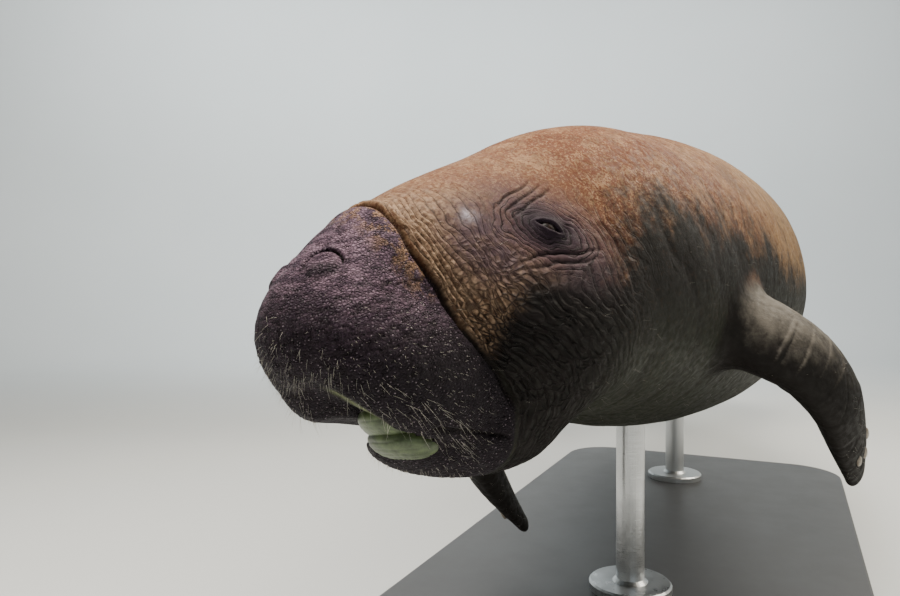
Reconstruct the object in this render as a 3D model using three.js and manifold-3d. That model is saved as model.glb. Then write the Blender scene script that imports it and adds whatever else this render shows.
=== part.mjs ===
// Manatee, life size, swimming, held on a plain display stand.
// Units are millimetres. The animal is described in a straight frame, with x to its left,
// y from the tip of the muzzle back to the tail and z up, and pose() then bends and banks it.
// The finished part has its origin at the middle of the underside of the stand's base, +Z up.
import * as THREE from 'three';
import { mergeVertices } from 'three/addons/utils/BufferGeometryUtils.js';
import Module from 'manifold-3d';

// Driving dimensions of the animal
const LENGTH = 2750;
const PADDLE = 2520;
const TIP_POWER = 2.3;
const TIP_THINNING = 0.35;

// Sections of the trunk and tail: y, half width, top, bottom, roundness of the section
const SECTIONS = [
  [60, 40, 36, -60, 2.1],
  [110, 62, 79, -90, 2.1],
  [160, 82, 100, -112, 2.1],
  [210, 99, 114, -128, 2.1],
  [260, 112, 126, -140, 2.1],
  [330, 128, 146, -150, 2.15],
  [400, 146, 163, -160, 2.15],
  [480, 170, 182, -174, 2.15],
  [580, 198, 201, -196, 2.15],
  [720, 228, 218, -222, 2.15],
  [900, 254, 233, -246, 2.15],
  [1150, 274, 244, -262, 2.15],
  [1400, 268, 238, -252, 2.15],
  [1650, 234, 206, -216, 2.1],
  [1850, 188, 160, -168, 2.05],
  [2000, 158, 118, -120, 2.0],
  [2120, 168, 82, -78, 1.8],
  [2250, 232, 50, -46, 1.6],
  [2390, 288, 34, -31, 1.5],
  [2520, 306, 26, -24, 1.5],
];

// Rounded masses of the head, mirrored in x: centre, radii, tilt in degrees with the nose end
// down, and the width over which each one melts into the masses before it
const NASAL = { at: [0, 98, 27], radii: [58, 84, 45], tilt: 34, blend: 0 };
const LIP_PAD = { at: [41, 115, -52], radii: [38, 99, 58], tilt: -34, blend: 22 };
const DISC = { at: [0, 64, -12], radii: [52, 54, 52], tilt: 0, blend: 22 };
const LIP_LOBE = { at: [27, 67, -58], radii: [25, 31, 26], tilt: 0, blend: 14 };
const CHIN = { at: [0, 183, -129], radii: [56, 98, 39], tilt: -14, blend: 0 };
const THROAT = { at: [0, 245, -98], radii: [92, 90, 62], tilt: 0, blend: 30 };
const JOWL = { at: [70, 270, -45], radii: [54, 90, 76], tilt: 0, blend: 40 };
const CHIN_BLEND = 12;
const MUZZLE_BLEND = 8;
const HEAD_REACH = 460;

// Lower lip, a little to the left as the mouth is held
const LOWER_LIP = { at: [1, 120, -126], radii: [36, 35, 14], tilt: -28, blend: 8 };

// Openings and small forms of the head
const CLEFT = { at: [14, 46, -97], radii: [38, 60, 30], tilt: -49 };
const MOUTH = { at: [-12, 112, -107], radii: [62, 62, 10], tilt: -20 };
const UPPER_PAD = { at: [7, 98, -98], radii: [29, 24, 13], tilt: -38 };
const LOWER_PAD = { at: [8, 110, -117], radii: [35, 29, 16], tilt: -28 };
const EYE = [105, 236, 35];
const EYE_SLANT = 40;
const EYE_RADIUS = 11;
const EYE_SUNK = 7;
const LID_RING = 12.5;
const LID_THICK = 4;
const NOSTRIL = [31, 50, 38];
const NOSTRIL_RADIUS = 16;
const NOSTRIL_DEEP = 2.2;
const PLUG_RADIUS = 22;
const PLUG_SUNK = 19.5;
const PLUG_DROP = 1.5;

// Flipper: middle of the section x, y, z, half chord and half thickness, from the root out
const FLIPPER = [
  [105, 588, -72, 66, 58],
  [150, 584, -98, 62, 50],
  [198, 585, -134, 57, 41],
  [234, 602, -180, 54, 33],
  [249, 636, -232, 48, 26],
  [250, 676, -283, 41, 19],
  [247, 712, -330, 27, 12],
];
const FLIPPER_CHORD = [0.4, 0.86, 0.3];
const FLIPPER_TIP = 20;

// Nails on the back of each flipper, near its tip: place along the flipper and across its chord
const NAILS = [[5.15, 0.5], [5.4, 0.02], [5.3, -0.5]];
const NAIL_RADII = [9, 7, 3];

// Bristles of the lips: how many, their lengths, thickness at the root, depth of the root, the
// least room between them, and their lie, added to the outward direction
const BRISTLES = { snout: 84, lower_jaw: 22 };
const BRISTLE_LENGTH = [7, 17];
const BRISTLE_THICK = 1.9;
const BRISTLE_ROOT = 5;
const BRISTLE_ROOM = 8;
const BRISTLE_CLEAR = 4;
const BRISTLE_LIE = [0, 0.35, -0.3];
const BRISTLE_STRAY = 0.2;
const BRISTLE_BOX = { low: [-90, 5, -170], high: [90, 175, 15] };
const BRISTLE_TRIES = 20000;
const SHORT_ABOVE = -25;
const SHORTER = 0.6;
const SPARSE_SHARE = 0.25;
const CREASE_ROOM = 10;

// Pose: turn, nod and bank in degrees, and where along the animal each of them takes place
const HEAD_TURN = 20;
const HEAD_NOD = -8;
const HEAD_BANK = 9;
const TRUNK_BANK = 15.5;
const TAIL_TURN = -11;
const TAIL_DROOP = 3;
const NECK_BEND = [300, 570];
const TAIL_BEND = [900, 2200];
const NECK_SIDE = 34;
const NECK_RISE = 18;
const PIVOT = 700;
const SPINE_STEP = 5;

// Where the animal is divided
const HEAD_END = 300;
const NECK_END = 560;
const CHEST_END = 950;
const ABDOMEN_END = 1450;
const RUMP_END = 1850;
const STOCK_END = 2130;
const CREASE_AT = 128;
const CREASE_LEAN = 0.3;
const GAP = 0.3;

// Display stand
const BASE = { long: 1560, wide: 760, thick: 36, corner: 120, bevel: 5 };
const ROD_RADIUS = 24;
const FOOT_RADIUS = 70;
const FOOT_THICK = 14;
const RODS = { front: 860, rear: 1660 };
const AXIS_HEIGHT = 565;
const MIDDLE = 1180;

// Fineness of the solids
const HEAD_CELL = 13;
const HEAD_BOX = { low: [-160, -14, -206], high: [160, HEAD_END + 3 * HEAD_CELL, 160] };
const RING_STEP = 70;
const SIDES = 40;
const FLIPPER_RINGS = 18;
const FLIPPER_SIDES = 16;
const PROBE = 0.5;

const wasm = await Module();
wasm.setup();

// Maths of the forms

// Smooth curve through points that never overshoots them
function profile(xs, ys) {
  const last = xs.length - 1;
  const run = (i) => xs[i + 1] - xs[i];
  const slope = (i) => (ys[i + 1] - ys[i]) / run(i);
  const m = xs.map((x, i) => {
    if (i === 0) return slope(0);
    if (i === last) return slope(last - 1);
    if (slope(i - 1) * slope(i) <= 0) return 0;
    const before = 2 * run(i) + run(i - 1);
    const after = run(i) + 2 * run(i - 1);
    return (before + after) / (before / slope(i - 1) + after / slope(i));
  });
  return (q) => {
    const x = Math.min(Math.max(q, xs[0]), xs[last]);
    let i = 0;
    while (i < last - 1 && x > xs[i + 1]) i += 1;
    const h = run(i);
    const t = (x - xs[i]) / h;
    const s = 1 - t;
    return (1 + 2 * t) * s * s * ys[i] + t * s * s * h * m[i]
      + t * t * (3 - 2 * t) * ys[i + 1] - t * t * s * h * m[i + 1];
  };
}

// Union of two fields that melts over the width k
function melt(a, b, k) {
  if (k <= 0) return Math.min(a, b);
  const h = Math.max(k - Math.abs(a - b), 0) / k;
  return Math.min(a, b) - h * h * k * 0.25;
}

function ease(x, from, to) {
  const t = Math.min(Math.max((x - from) / (to - from), 0), 1);
  return t * t * (3 - 2 * t);
}

// About the distance to a tilted ellipsoid and to its mirror image in x
function mass(form, x, y, z) {
  return distance(form, Math.abs(x), y, z);
}

// About the distance to a tilted ellipsoid
function distance(form, x, y, z) {
  const lean = THREE.MathUtils.degToRad(form.tilt);
  const dx = x - form.at[0];
  const dy = y - form.at[1];
  const dz = z - form.at[2];
  const u = dy * Math.cos(lean) + dz * Math.sin(lean);
  const v = dz * Math.cos(lean) - dy * Math.sin(lean);
  const [a, b, c] = form.radii;
  const near = Math.hypot(dx / a, u / b, v / c);
  const rate = Math.hypot(dx / (a * a), u / (b * b), v / (c * c));
  return near * (near - 1) / Math.max(rate, 1e-9);
}

const column = (k) => profile(SECTIONS.map((s) => s[0]), SECTIONS.map((s) => s[k]));
const halfWidth = column(1);
const topLine = column(2);
const bottomLine = column(3);
const roundness = column(4);

// Half width, top, bottom and roundness of the trunk and tail at y
function section(y) {
  const e = Math.min(Math.max((y - PADDLE) / (LENGTH - PADDLE), 0), 1);
  const close = Math.sqrt(Math.max(1 - e ** TIP_POWER, 0));
  const thin = close * (1 - TIP_THINNING * e);
  return [halfWidth(y) * close, topLine(y) * thin, bottomLine(y) * thin, roundness(y)];
}

function trunkField(x, y, z) {
  const [a, top, bottom, n] = section(y);
  const wide = Math.max(a, 0.5);
  const high = Math.max((top - bottom) / 2, 0.5);
  const middle = (top + bottom) / 2;
  const q = (Math.abs(x / wide) ** n + Math.abs((z - middle) / high) ** n) ** (1 / n);
  return Math.max((q - 1) * Math.min(wide, high), SECTIONS[0][0] - y, y - LENGTH);
}

// Flesh of the animal without its flippers, negative inside
function fleshField(x, y, z) {
  let d = trunkField(x, y, z);
  if (y > HEAD_REACH) return d;
  d = melt(d, mass(JOWL, x, y, z), JOWL.blend);
  let chin = mass(CHIN, x, y, z);
  chin = melt(chin, mass(THROAT, x, y, z), THROAT.blend);
  chin = melt(chin, distance(LOWER_LIP, x, y, z), LOWER_LIP.blend);
  d = melt(d, chin, CHIN_BLEND);
  let muzzle = mass(NASAL, x, y, z);
  muzzle = melt(muzzle, mass(LIP_PAD, x, y, z), LIP_PAD.blend);
  muzzle = melt(muzzle, mass(DISC, x, y, z), DISC.blend);
  muzzle = melt(muzzle, mass(LIP_LOBE, x, y, z), LIP_LOBE.blend);
  return melt(d, muzzle, MUZZLE_BLEND);
}

// Spine of the pose, as frames every few millimetres of the straight animal
function makeSpine() {
  const rad = THREE.MathUtils.degToRad;
  const frames = [];
  const start = -100;
  const centre = new THREE.Vector3();
  let before = null;
  for (let y = start; y <= LENGTH + 100; y += SPINE_STEP) {
    const head = 1 - ease(y, ...NECK_BEND);
    const tail = ease(y, ...TAIL_BEND);
    const turn = rad(HEAD_TURN * head + TAIL_TURN * tail);
    const nod = rad(HEAD_NOD * head + TAIL_DROOP * tail);
    const bank = rad(TRUNK_BANK + (HEAD_BANK - TRUNK_BANK) * head);
    const back = new THREE.Vector3(
      Math.sin(turn) * Math.cos(nod), Math.cos(turn) * Math.cos(nod), -Math.sin(nod));
    const left = new THREE.Vector3(Math.cos(turn), -Math.sin(turn), 0);
    const up = new THREE.Vector3().crossVectors(left, back);
    if (before) centre.addScaledVector(before.clone().add(back), SPINE_STEP / 2);
    before = back.clone();
    frames.push({
      centre: centre.clone(),
      left: left.clone().multiplyScalar(Math.cos(bank)).addScaledVector(up, Math.sin(bank)),
      up: up.clone().multiplyScalar(Math.cos(bank)).addScaledVector(left, -Math.sin(bank)),
    });
  }
  const pivot = frames[(PIVOT - start) / SPINE_STEP].centre.clone();
  frames.forEach((frame, i) => {
    const slide = 1 - ease(start + i * SPINE_STEP, ...NECK_BEND);
    frame.centre.sub(pivot);
    frame.centre.x += slide * NECK_SIDE;
    frame.centre.y += PIVOT - MIDDLE;
    frame.centre.z += slide * NECK_RISE + AXIS_HEIGHT;
  });
  return { frames, start };
}

const spine = makeSpine();

// A point of the straight animal, in the finished part's frame
function pose(point) {
  const f = (point.y - spine.start) / SPINE_STEP;
  const i = Math.min(Math.max(Math.floor(f), 0), spine.frames.length - 2);
  const a = spine.frames[i];
  const b = spine.frames[i + 1];
  const at = (name) => a[name].clone().lerp(b[name], f - i);
  return at('centre').addScaledVector(at('left'), point.x).addScaledVector(at('up'), point.z);
}

// Closed surfaces and solids

function geometryOf(points, triangles) {
  const geometry = new THREE.BufferGeometry();
  geometry.setAttribute('position', new THREE.Float32BufferAttribute(points, 3));
  geometry.setIndex(triangles);
  return geometry;
}

function solidOf(geometry) {
  const bare = geometry.clone();
  bare.deleteAttribute('normal');
  bare.deleteAttribute('uv');
  const merged = mergeVertices(bare, 1e-3);
  const mesh = new wasm.Mesh({
    numProp: 3,
    vertProperties: new Float32Array(merged.attributes.position.array),
    triVerts: new Uint32Array(merged.index.array),
  });
  return new wasm.Manifold(mesh);
}

function geometryFrom(solid) {
  const mesh = solid.getMesh();
  return geometryOf(Array.from(mesh.vertProperties), Array.from(mesh.triVerts));
}

// The largest closed surface of a solid
function largest(solid) {
  const pieces = solid.decompose();
  return pieces.reduce((a, b) => (b.volume() > a.volume() ? b : a));
}

function posed(geometry) {
  const result = geometry.clone();
  const place = result.attributes.position;
  const point = new THREE.Vector3();
  for (let i = 0; i < place.count; i += 1) {
    const moved = pose(point.fromBufferAttribute(place, i));
    place.setXYZ(i, moved.x, moved.y, moved.z);
  }
  return result;
}

// Newton steps of a point onto the zero level of a field
function settle(field, p, steps, reach) {
  const h = PROBE;
  for (let k = 0; k < steps; k += 1) {
    const d = field(p.x, p.y, p.z);
    const g = new THREE.Vector3(
      field(p.x + h, p.y, p.z) - field(p.x - h, p.y, p.z),
      field(p.x, p.y + h, p.z) - field(p.x, p.y - h, p.z),
      field(p.x, p.y, p.z + h) - field(p.x, p.y, p.z - h)).divideScalar(2 * h);
    const move = Math.min(Math.max(d / Math.max(g.lengthSq(), 0.2), -reach), reach);
    p.addScaledVector(g, -move);
  }
  return p;
}

// Closed surface of a field between two corners: one point in each cell that the surface
// crosses, and a square of four such points round each crossed edge of the grid
function surface(field, low, high, cell) {
  const n = low.map((v, k) => Math.ceil((high[k] - v) / cell) + 1);
  const value = new Float64Array(n[0] * n[1] * n[2]);
  const node = (i, j, k) => (i * n[1] + j) * n[2] + k;
  for (let i = 0; i < n[0]; i += 1) {
    for (let j = 0; j < n[1]; j += 1) {
      for (let k = 0; k < n[2]; k += 1) {
        const at = [low[0] + i * cell, low[1] + j * cell, low[2] + k * cell];
        value[node(i, j, k)] = field(...at);
      }
    }
  }
  const corners = [0, 1].flatMap((a) => [0, 1].flatMap((b) => [0, 1].map((c) => [a, b, c])));
  const edges = corners.flatMap((a) => corners
    .filter((b) => b.every((v, k) => v >= a[k]) && b.reduce((s, v, k) => s + v - a[k], 0) === 1)
    .map((b) => [a, b]));
  const points = [];
  const index = new Map();
  for (let i = 0; i < n[0] - 1; i += 1) {
    for (let j = 0; j < n[1] - 1; j += 1) {
      for (let k = 0; k < n[2] - 1; k += 1) {
        const sum = new THREE.Vector3();
        let count = 0;
        for (const [a, b] of edges) {
          const va = value[node(i + a[0], j + a[1], k + a[2])];
          const vb = value[node(i + b[0], j + b[1], k + b[2])];
          if ((va < 0) === (vb < 0)) continue;
          const t = va / (va - vb);
          sum.add(new THREE.Vector3(
            a[0] + t * (b[0] - a[0]), a[1] + t * (b[1] - a[1]), a[2] + t * (b[2] - a[2])));
          count += 1;
        }
        if (count === 0) continue;
        sum.divideScalar(count).add(new THREE.Vector3(i, j, k)).multiplyScalar(cell);
        sum.add(new THREE.Vector3(...low));
        index.set(node(i, j, k), points.length / 3);
        const p = settle(field, sum, 2, cell / 4);
        points.push(p.x, p.y, p.z);
      }
    }
  }
  const triangles = [];
  const ring = (axis, i, j, k) => {
    const u = (axis + 1) % 3;
    const v = (axis + 2) % 3;
    return [[0, 0], [1, 0], [1, 1], [0, 1]].map(([a, b]) => {
      const c = [i, j, k];
      c[u] -= a;
      c[v] -= b;
      return index.get(node(...c));
    });
  };
  for (let i = 1; i < n[0] - 1; i += 1) {
    for (let j = 1; j < n[1] - 1; j += 1) {
      for (let k = 1; k < n[2] - 1; k += 1) {
        for (let axis = 0; axis < 3; axis += 1) {
          const next = [i, j, k];
          next[axis] += 1;
          const inside = value[node(i, j, k)] < 0;
          if (inside === value[node(...next)] < 0) continue;
          const [a, b, c, d] = ring(axis, i, j, k);
          if (inside) triangles.push(a, b, c, a, c, d);
          else triangles.push(a, c, b, a, d, c);
        }
      }
    }
  }
  return geometryOf(points, triangles);
}

// Closed tube through rings of equally many points, with a flat or pointed end
function tube(rings, firstEnd, lastEnd) {
  const sides = rings[0].length;
  const points = rings.flat().flatMap((p) => [p.x, p.y, p.z]);
  const triangles = [];
  const at = (i, j) => i * sides + (j % sides);
  for (let i = 0; i < rings.length - 1; i += 1) {
    for (let j = 0; j < sides; j += 1) {
      const [a, b, c, d] = [at(i, j), at(i, j + 1), at(i + 1, j + 1), at(i + 1, j)];
      // The diagonals are alike on the upper and the lower face
      if (j < sides / 4 || (j >= sides / 2 && j < sides * 3 / 4)) triangles.push(a, c, b, a, d, c);
      else triangles.push(a, d, b, b, d, c);
    }
  }
  const end = (i, p, turned) => {
    const middle = points.length / 3;
    points.push(p.x, p.y, p.z);
    for (let j = 0; j < sides; j += 1) {
      if (turned) triangles.push(middle, at(i, j + 1), at(i, j));
      else triangles.push(middle, at(i, j), at(i, j + 1));
    }
  };
  end(0, firstEnd, false);
  end(rings.length - 1, lastEnd, true);
  return geometryOf(points, triangles);
}

// Ring of the flesh at y, found along rays from the axis, grown outwards by a little
function fleshRing(y, grow) {
  const [a, top, bottom] = section(y);
  const middle = (top + bottom) / 2;
  const high = (top - bottom) / 2;
  return Array.from({ length: SIDES }, (_, j) => {
    const angle = 2 * Math.PI * j / SIDES;
    const way = new THREE.Vector2(a * Math.cos(angle), high * Math.sin(angle));
    const size = way.length();
    way.normalize();
    let near = size * 0.3;
    let far = size * 1.6;
    for (let k = 0; k < 40; k += 1) {
      const mid = (near + far) / 2;
      if (fleshField(way.x * mid, y, middle + way.y * mid) < 0) near = mid;
      else far = mid;
    }
    return new THREE.Vector3(way.x * (near + grow), y, middle + way.y * (near + grow));
  });
}

// A length of the trunk or tail, from y0 to y1, less half the gap at each end
function trunkLength(y0, y1, grow = 0) {
  const from = y0 + GAP / 2;
  const to = y1 === LENGTH ? LENGTH - 3 : y1 - GAP / 2;
  const count = Math.max(Math.round((y1 - y0) / RING_STEP), 3);
  const rings = [];
  for (let i = 0; i <= count; i += 1) {
    const t = y1 === LENGTH ? Math.sin(i / count * Math.PI / 2) : i / count;
    rings.push(fleshRing(from + (to - from) * t, grow));
  }
  const centre = (y) => {
    const [, top, bottom] = section(Math.min(y, LENGTH - 3));
    return new THREE.Vector3(0, y, (top + bottom) / 2);
  };
  const last = y1 === LENGTH ? LENGTH : to;
  return posed(tube(rings, centre(from), centre(last)));
}

// Frame of a flipper at t, counted in stations from the root
const flipperColumn = FLIPPER[0].map((_, k) => profile(
  FLIPPER.map((s, i) => i), FLIPPER.map((s) => s[k])));

function flipperFrame(t) {
  const at = (s) => new THREE.Vector3(...[0, 1, 2].map((k) => flipperColumn[k](s)));
  const last = FLIPPER.length - 1;
  const along = at(Math.min(t + 0.05, last)).sub(at(Math.max(t - 0.05, 0))).normalize();
  const chord = new THREE.Vector3(...FLIPPER_CHORD);
  chord.addScaledVector(along, -chord.dot(along)).normalize();
  const face = new THREE.Vector3().crossVectors(along, chord);
  return { middle: at(t), along, chord, face, wide: flipperColumn[3](t), thick: flipperColumn[4](t) };
}

function flipperRing(frame, scale, forward) {
  return Array.from({ length: FLIPPER_SIDES }, (_, j) => {
    const angle = 2 * Math.PI * j / FLIPPER_SIDES;
    return frame.middle.clone()
      .addScaledVector(frame.along, forward)
      .addScaledVector(frame.chord, frame.wide * scale * Math.cos(angle))
      .addScaledVector(frame.face, -frame.thick * scale * Math.sin(angle));
  });
}

function flipper(side) {
  const last = FLIPPER.length - 1;
  const rings = [];
  for (let i = 0; i <= FLIPPER_RINGS; i += 1) {
    rings.push(flipperRing(flipperFrame(last * i / FLIPPER_RINGS), 1, 0));
  }
  const end = flipperFrame(last);
  for (const turn of [0.45, 0.9, 1.25]) {
    rings.push(flipperRing(end, Math.cos(turn), FLIPPER_TIP * Math.sin(turn)));
  }
  const first = flipperFrame(0).middle;
  const tip = end.middle.clone().addScaledVector(end.along, FLIPPER_TIP);
  return mirrored(tube(rings, first, tip), side);
}

// The left side's form, or for side -1 the right side's
function mirrored(geometry, side) {
  const result = geometry.clone();
  if (side > 0) return result;
  result.scale(-1, 1, 1);
  const order = result.index.array;
  for (let i = 0; i < order.length; i += 3) {
    [order[i + 1], order[i + 2]] = [order[i + 2], order[i + 1]];
  }
  return result;
}

function ellipsoid(form, grow, wide = 18, high = 10) {
  const geometry = new THREE.SphereGeometry(1, wide, high);
  geometry.scale(...form.radii.map((r) => r + grow));
  geometry.rotateX(THREE.MathUtils.degToRad(form.tilt));
  geometry.translate(...form.at);
  return geometry;
}

function nail(side, [t, across], grow) {
  const frame = flipperFrame(t);
  const geometry = new THREE.SphereGeometry(1, 10, 6);
  geometry.scale(...NAIL_RADII.map((r) => r + grow));
  const turn = new THREE.Matrix4().makeBasis(frame.along, frame.chord, frame.face);
  geometry.applyMatrix4(turn);
  const lift = frame.thick * Math.sqrt(1 - across * across) - NAIL_RADII[2] * 0.3;
  const place = frame.middle.clone().addScaledVector(frame.chord, frame.wide * across)
    .addScaledVector(frame.face, lift);
  geometry.translate(place.x, place.y, place.z);
  return mirrored(geometry, side);
}

// Head

// Outward direction of the flesh at a point
function outward(p) {
  const h = 2 * PROBE;
  return new THREE.Vector3(
    fleshField(p.x + h, p.y, p.z) - fleshField(p.x - h, p.y, p.z),
    fleshField(p.x, p.y + h, p.z) - fleshField(p.x, p.y - h, p.z),
    fleshField(p.x, p.y, p.z + h) - fleshField(p.x, p.y, p.z - h)).normalize();
}

const eyeSpot = settle(fleshField, new THREE.Vector3(...EYE), 8, 20);
const eyeOut = outward(eyeSpot);

function eyeBall(side, grow) {
  const geometry = new THREE.SphereGeometry(EYE_RADIUS + grow, 14, 9);
  const middle = eyeSpot.clone().addScaledVector(eyeOut, -EYE_SUNK);
  geometry.translate(middle.x, middle.y, middle.z);
  return mirrored(geometry, side);
}

// Rim of both lids round an eye, longer towards the eye's lower back corner
function lids(side) {
  const geometry = new THREE.TorusGeometry(LID_RING, LID_THICK, 6, 18);
  geometry.scale(1.15, 0.85, 1);
  const level = new THREE.Vector3().crossVectors(new THREE.Vector3(0, 0, 1), eyeOut).normalize();
  const up = new THREE.Vector3().crossVectors(eyeOut, level);
  geometry.rotateZ(-THREE.MathUtils.degToRad(EYE_SLANT));
  geometry.applyMatrix4(new THREE.Matrix4().makeBasis(level, up, eyeOut));
  geometry.translate(eyeSpot.x, eyeSpot.y, eyeSpot.z);
  return mirrored(geometry, side);
}

// Closed nostril: a shallow round pit, and the rounded plug that fills it but for a thin crescent
function nostril(side) {
  const place = settle(fleshField, new THREE.Vector3(...NOSTRIL), 6, 20);
  const out = outward(place);
  const pit = new THREE.CylinderGeometry(NOSTRIL_RADIUS, NOSTRIL_RADIUS, 2 * NOSTRIL_DEEP, 16);
  const up = new THREE.Vector3(0, 1, 0);
  pit.applyQuaternion(new THREE.Quaternion().setFromUnitVectors(up, out));
  pit.translate(place.x, place.y, place.z);
  const plug = new THREE.SphereGeometry(PLUG_RADIUS, 16, 10);
  const middle = place.clone().addScaledVector(out, -PLUG_SUNK);
  plug.translate(middle.x, middle.y, middle.z - PLUG_DROP);
  return [pit, plug].map((geometry) => solidOf(mirrored(geometry, side)));
}

// The half of a solid on one side of the plane with this normal through a point
function half(solid, normal, point) {
  const n = new THREE.Vector3(...normal).normalize();
  return solid.trimByPlane(n.toArray(), n.dot(new THREE.Vector3(...point)) + GAP / 2);
}

// Numbers from 0 to 1, the same on every run
function seeded(start) {
  let state = start;
  return () => {
    state = (state * 1664525 + 1013904223) % 4294967296;
    return state / 4294967296;
  };
}

// Height of a point over the plane that divides the jaws
function overMouth(p) {
  const lean = THREE.MathUtils.degToRad(MOUTH.tilt);
  return (p.z - MOUTH.at[2]) * Math.cos(lean) - (p.y - MOUTH.at[1]) * Math.sin(lean);
}

// Distance of a point from all flesh and both mouth pads
function openness(p) {
  const at = [p.x, p.y, p.z];
  return Math.min(fleshField(...at), distance(UPPER_PAD, ...at), distance(LOWER_PAD, ...at));
}

const OPENINGS = [CLEFT, MOUTH, UPPER_PAD, LOWER_PAD];

// Roots and directions of bristles over the lips and chin, spread with some room between them
function bristleSpots() {
  const random = seeded(7);
  const between = (a, b) => a + (b - a) * random();
  const left = { ...BRISTLES };
  const spots = [];
  const within = (low, high) => new THREE.Vector3(...low.map((v, k) => between(v, high[k])));
  const stray = [1, 1, 1].map(() => BRISTLE_STRAY);
  for (let i = 0; i < BRISTLE_TRIES && left.snout + left.lower_jaw > 0; i += 1) {
    const root = settle(fleshField, within(BRISTLE_BOX.low, BRISTLE_BOX.high), 8, 20);
    const node = overMouth(root) > 0 ? 'snout' : 'lower_jaw';
    const size = between(...BRISTLE_LENGTH) * (root.z > SHORT_ABOVE ? SHORTER : 1);
    const way = outward(root).add(new THREE.Vector3(...BRISTLE_LIE));
    way.add(within(stray.map((v) => -v), stray)).normalize();
    const point = (t) => root.clone().addScaledVector(way, t);
    const deep = point(-BRISTLE_ROOT);
    const lipEdge = root.z < -0.75 * root.y + 8 || root.y < 50;
    const allowed = left[node] > 0 && Math.abs(overMouth(deep)) > BRISTLE_CLEAR
      && Math.abs(overMouth(root)) > BRISTLE_CLEAR
      && root.y + CREASE_LEAN * root.z < CREASE_AT - CREASE_ROOM
      && fleshField(deep.x, deep.y, deep.z) < -BRISTLE_ROOT / 2
      && (lipEdge || random() < SPARSE_SHARE)
      && Math.min(openness(point(size / 2)), openness(point(size))) > BRISTLE_CLEAR / 2
      && Math.min(...OPENINGS.map((form) => distance(form, ...root))) > BRISTLE_CLEAR
      && Math.min(...OPENINGS.map((form) => distance(form, ...deep))) > BRISTLE_CLEAR
      && spots.every((s) => [0, 0.5, 1].every((t) => (
        point(size * t).distanceTo(s.point(s.size * t)) > BRISTLE_ROOM)));
    if (!allowed) continue;
    left[node] -= 1;
    spots.push({ node, point, size, way });
  }
  return spots;
}

function bristle({ point, size, way }) {
  const long = size + BRISTLE_ROOT;
  const geometry = new THREE.ConeGeometry(BRISTLE_THICK / 2, long, 5, 1);
  geometry.translate(0, long / 2, 0);
  const up = new THREE.Vector3(0, 1, 0);
  geometry.applyQuaternion(new THREE.Quaternion().setFromUnitVectors(up, way));
  const from = point(-BRISTLE_ROOT);
  geometry.translate(from.x, from.y, from.z);
  return solidOf(geometry);
}

function withBristles(solid, node, spots) {
  const spikes = spots.filter((spot) => spot.node === node).map(bristle);
  return largest(wasm.Manifold.union([solid, ...spikes]));
}

function makeHead() {
  const front = (x, y, z) => Math.max(fleshField(x, y, z), y - HEAD_END - HEAD_CELL);
  let flesh = solidOf(surface(front, HEAD_BOX.low, HEAD_BOX.high, HEAD_CELL));
  for (const side of [1, -1]) {
    flesh = flesh.add(solidOf(lids(side)));
    flesh = flesh.subtract(solidOf(eyeBall(side, GAP)));
    const [pit, plug] = nostril(side);
    flesh = flesh.subtract(pit).add(plug);
  }
  flesh = flesh.subtract(solidOf(ellipsoid(CLEFT, 0, 14, 8)));
  flesh = flesh.subtract(solidOf(ellipsoid(MOUTH, 0)));
  flesh = flesh.subtract(solidOf(ellipsoid(UPPER_PAD, GAP)));
  flesh = flesh.subtract(solidOf(ellipsoid(LOWER_PAD, GAP)));
  const lean = THREE.MathUtils.degToRad(MOUTH.tilt);
  const up = [0, -Math.sin(lean), Math.cos(lean)];
  const down = up.map((v) => -v);
  const crease = [0, CREASE_AT, 0];
  const above = half(flesh, up, MOUTH.at);
  const spots = bristleSpots();
  return {
    lower_jaw: withBristles(largest(half(flesh, down, MOUTH.at)), 'lower_jaw', spots),
    snout: withBristles(largest(half(above, [0, -1, -CREASE_LEAN], crease)), 'snout', spots),
    head: largest(half(half(above, [0, 1, CREASE_LEAN], crease), [0, -1, 0], [0, HEAD_END, 0])),
  };
}

// Stand

function standBase() {
  const { long, wide, thick, corner, bevel } = BASE;
  const [x, y] = [wide / 2 - bevel, long / 2 - bevel];
  const shape = new THREE.Shape();
  shape.moveTo(-x + corner, -y);
  shape.lineTo(x - corner, -y);
  shape.absarc(x - corner, -y + corner, corner, -Math.PI / 2, 0);
  shape.absarc(x - corner, y - corner, corner, 0, Math.PI / 2);
  shape.absarc(-x + corner, y - corner, corner, Math.PI / 2, Math.PI);
  shape.absarc(-x + corner, -y + corner, corner, Math.PI, Math.PI * 1.5);
  const geometry = new THREE.ExtrudeGeometry(shape, {
    depth: thick - 2 * bevel,
    bevelSize: bevel,
    bevelThickness: bevel,
    bevelSegments: 2,
    curveSegments: 6,
  });
  geometry.translate(0, 0, bevel);
  return geometry;
}

// A rod with its round foot, up to the belly, which is given a little lower than it lies
function standRod(y, belly) {
  const profileLine = [
    [0, 0], [FOOT_RADIUS, 0], [FOOT_RADIUS, FOOT_THICK - 3], [FOOT_RADIUS - 3, FOOT_THICK],
    [ROD_RADIUS + 6, FOOT_THICK], [ROD_RADIUS, FOOT_THICK + 6],
    [ROD_RADIUS, AXIS_HEIGHT - 60], [0, AXIS_HEIGHT - 60],
  ].map(([r, z]) => new THREE.Vector2(r, z));
  const geometry = new THREE.LatheGeometry(profileLine, 32);
  geometry.rotateX(Math.PI / 2);
  const foot = pose(new THREE.Vector3(0, y, 0));
  geometry.translate(foot.x, foot.y, BASE.thick + GAP);
  return largest(solidOf(geometry).subtract(belly));
}

// Materials and the finished group

const material = (color, roughness, metalness = 0) => (
  new THREE.MeshStandardMaterial({ color, roughness, metalness }));
const hide = 0x4a4038;
const dark = 0x37303a;

const model = new THREE.Group();

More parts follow.
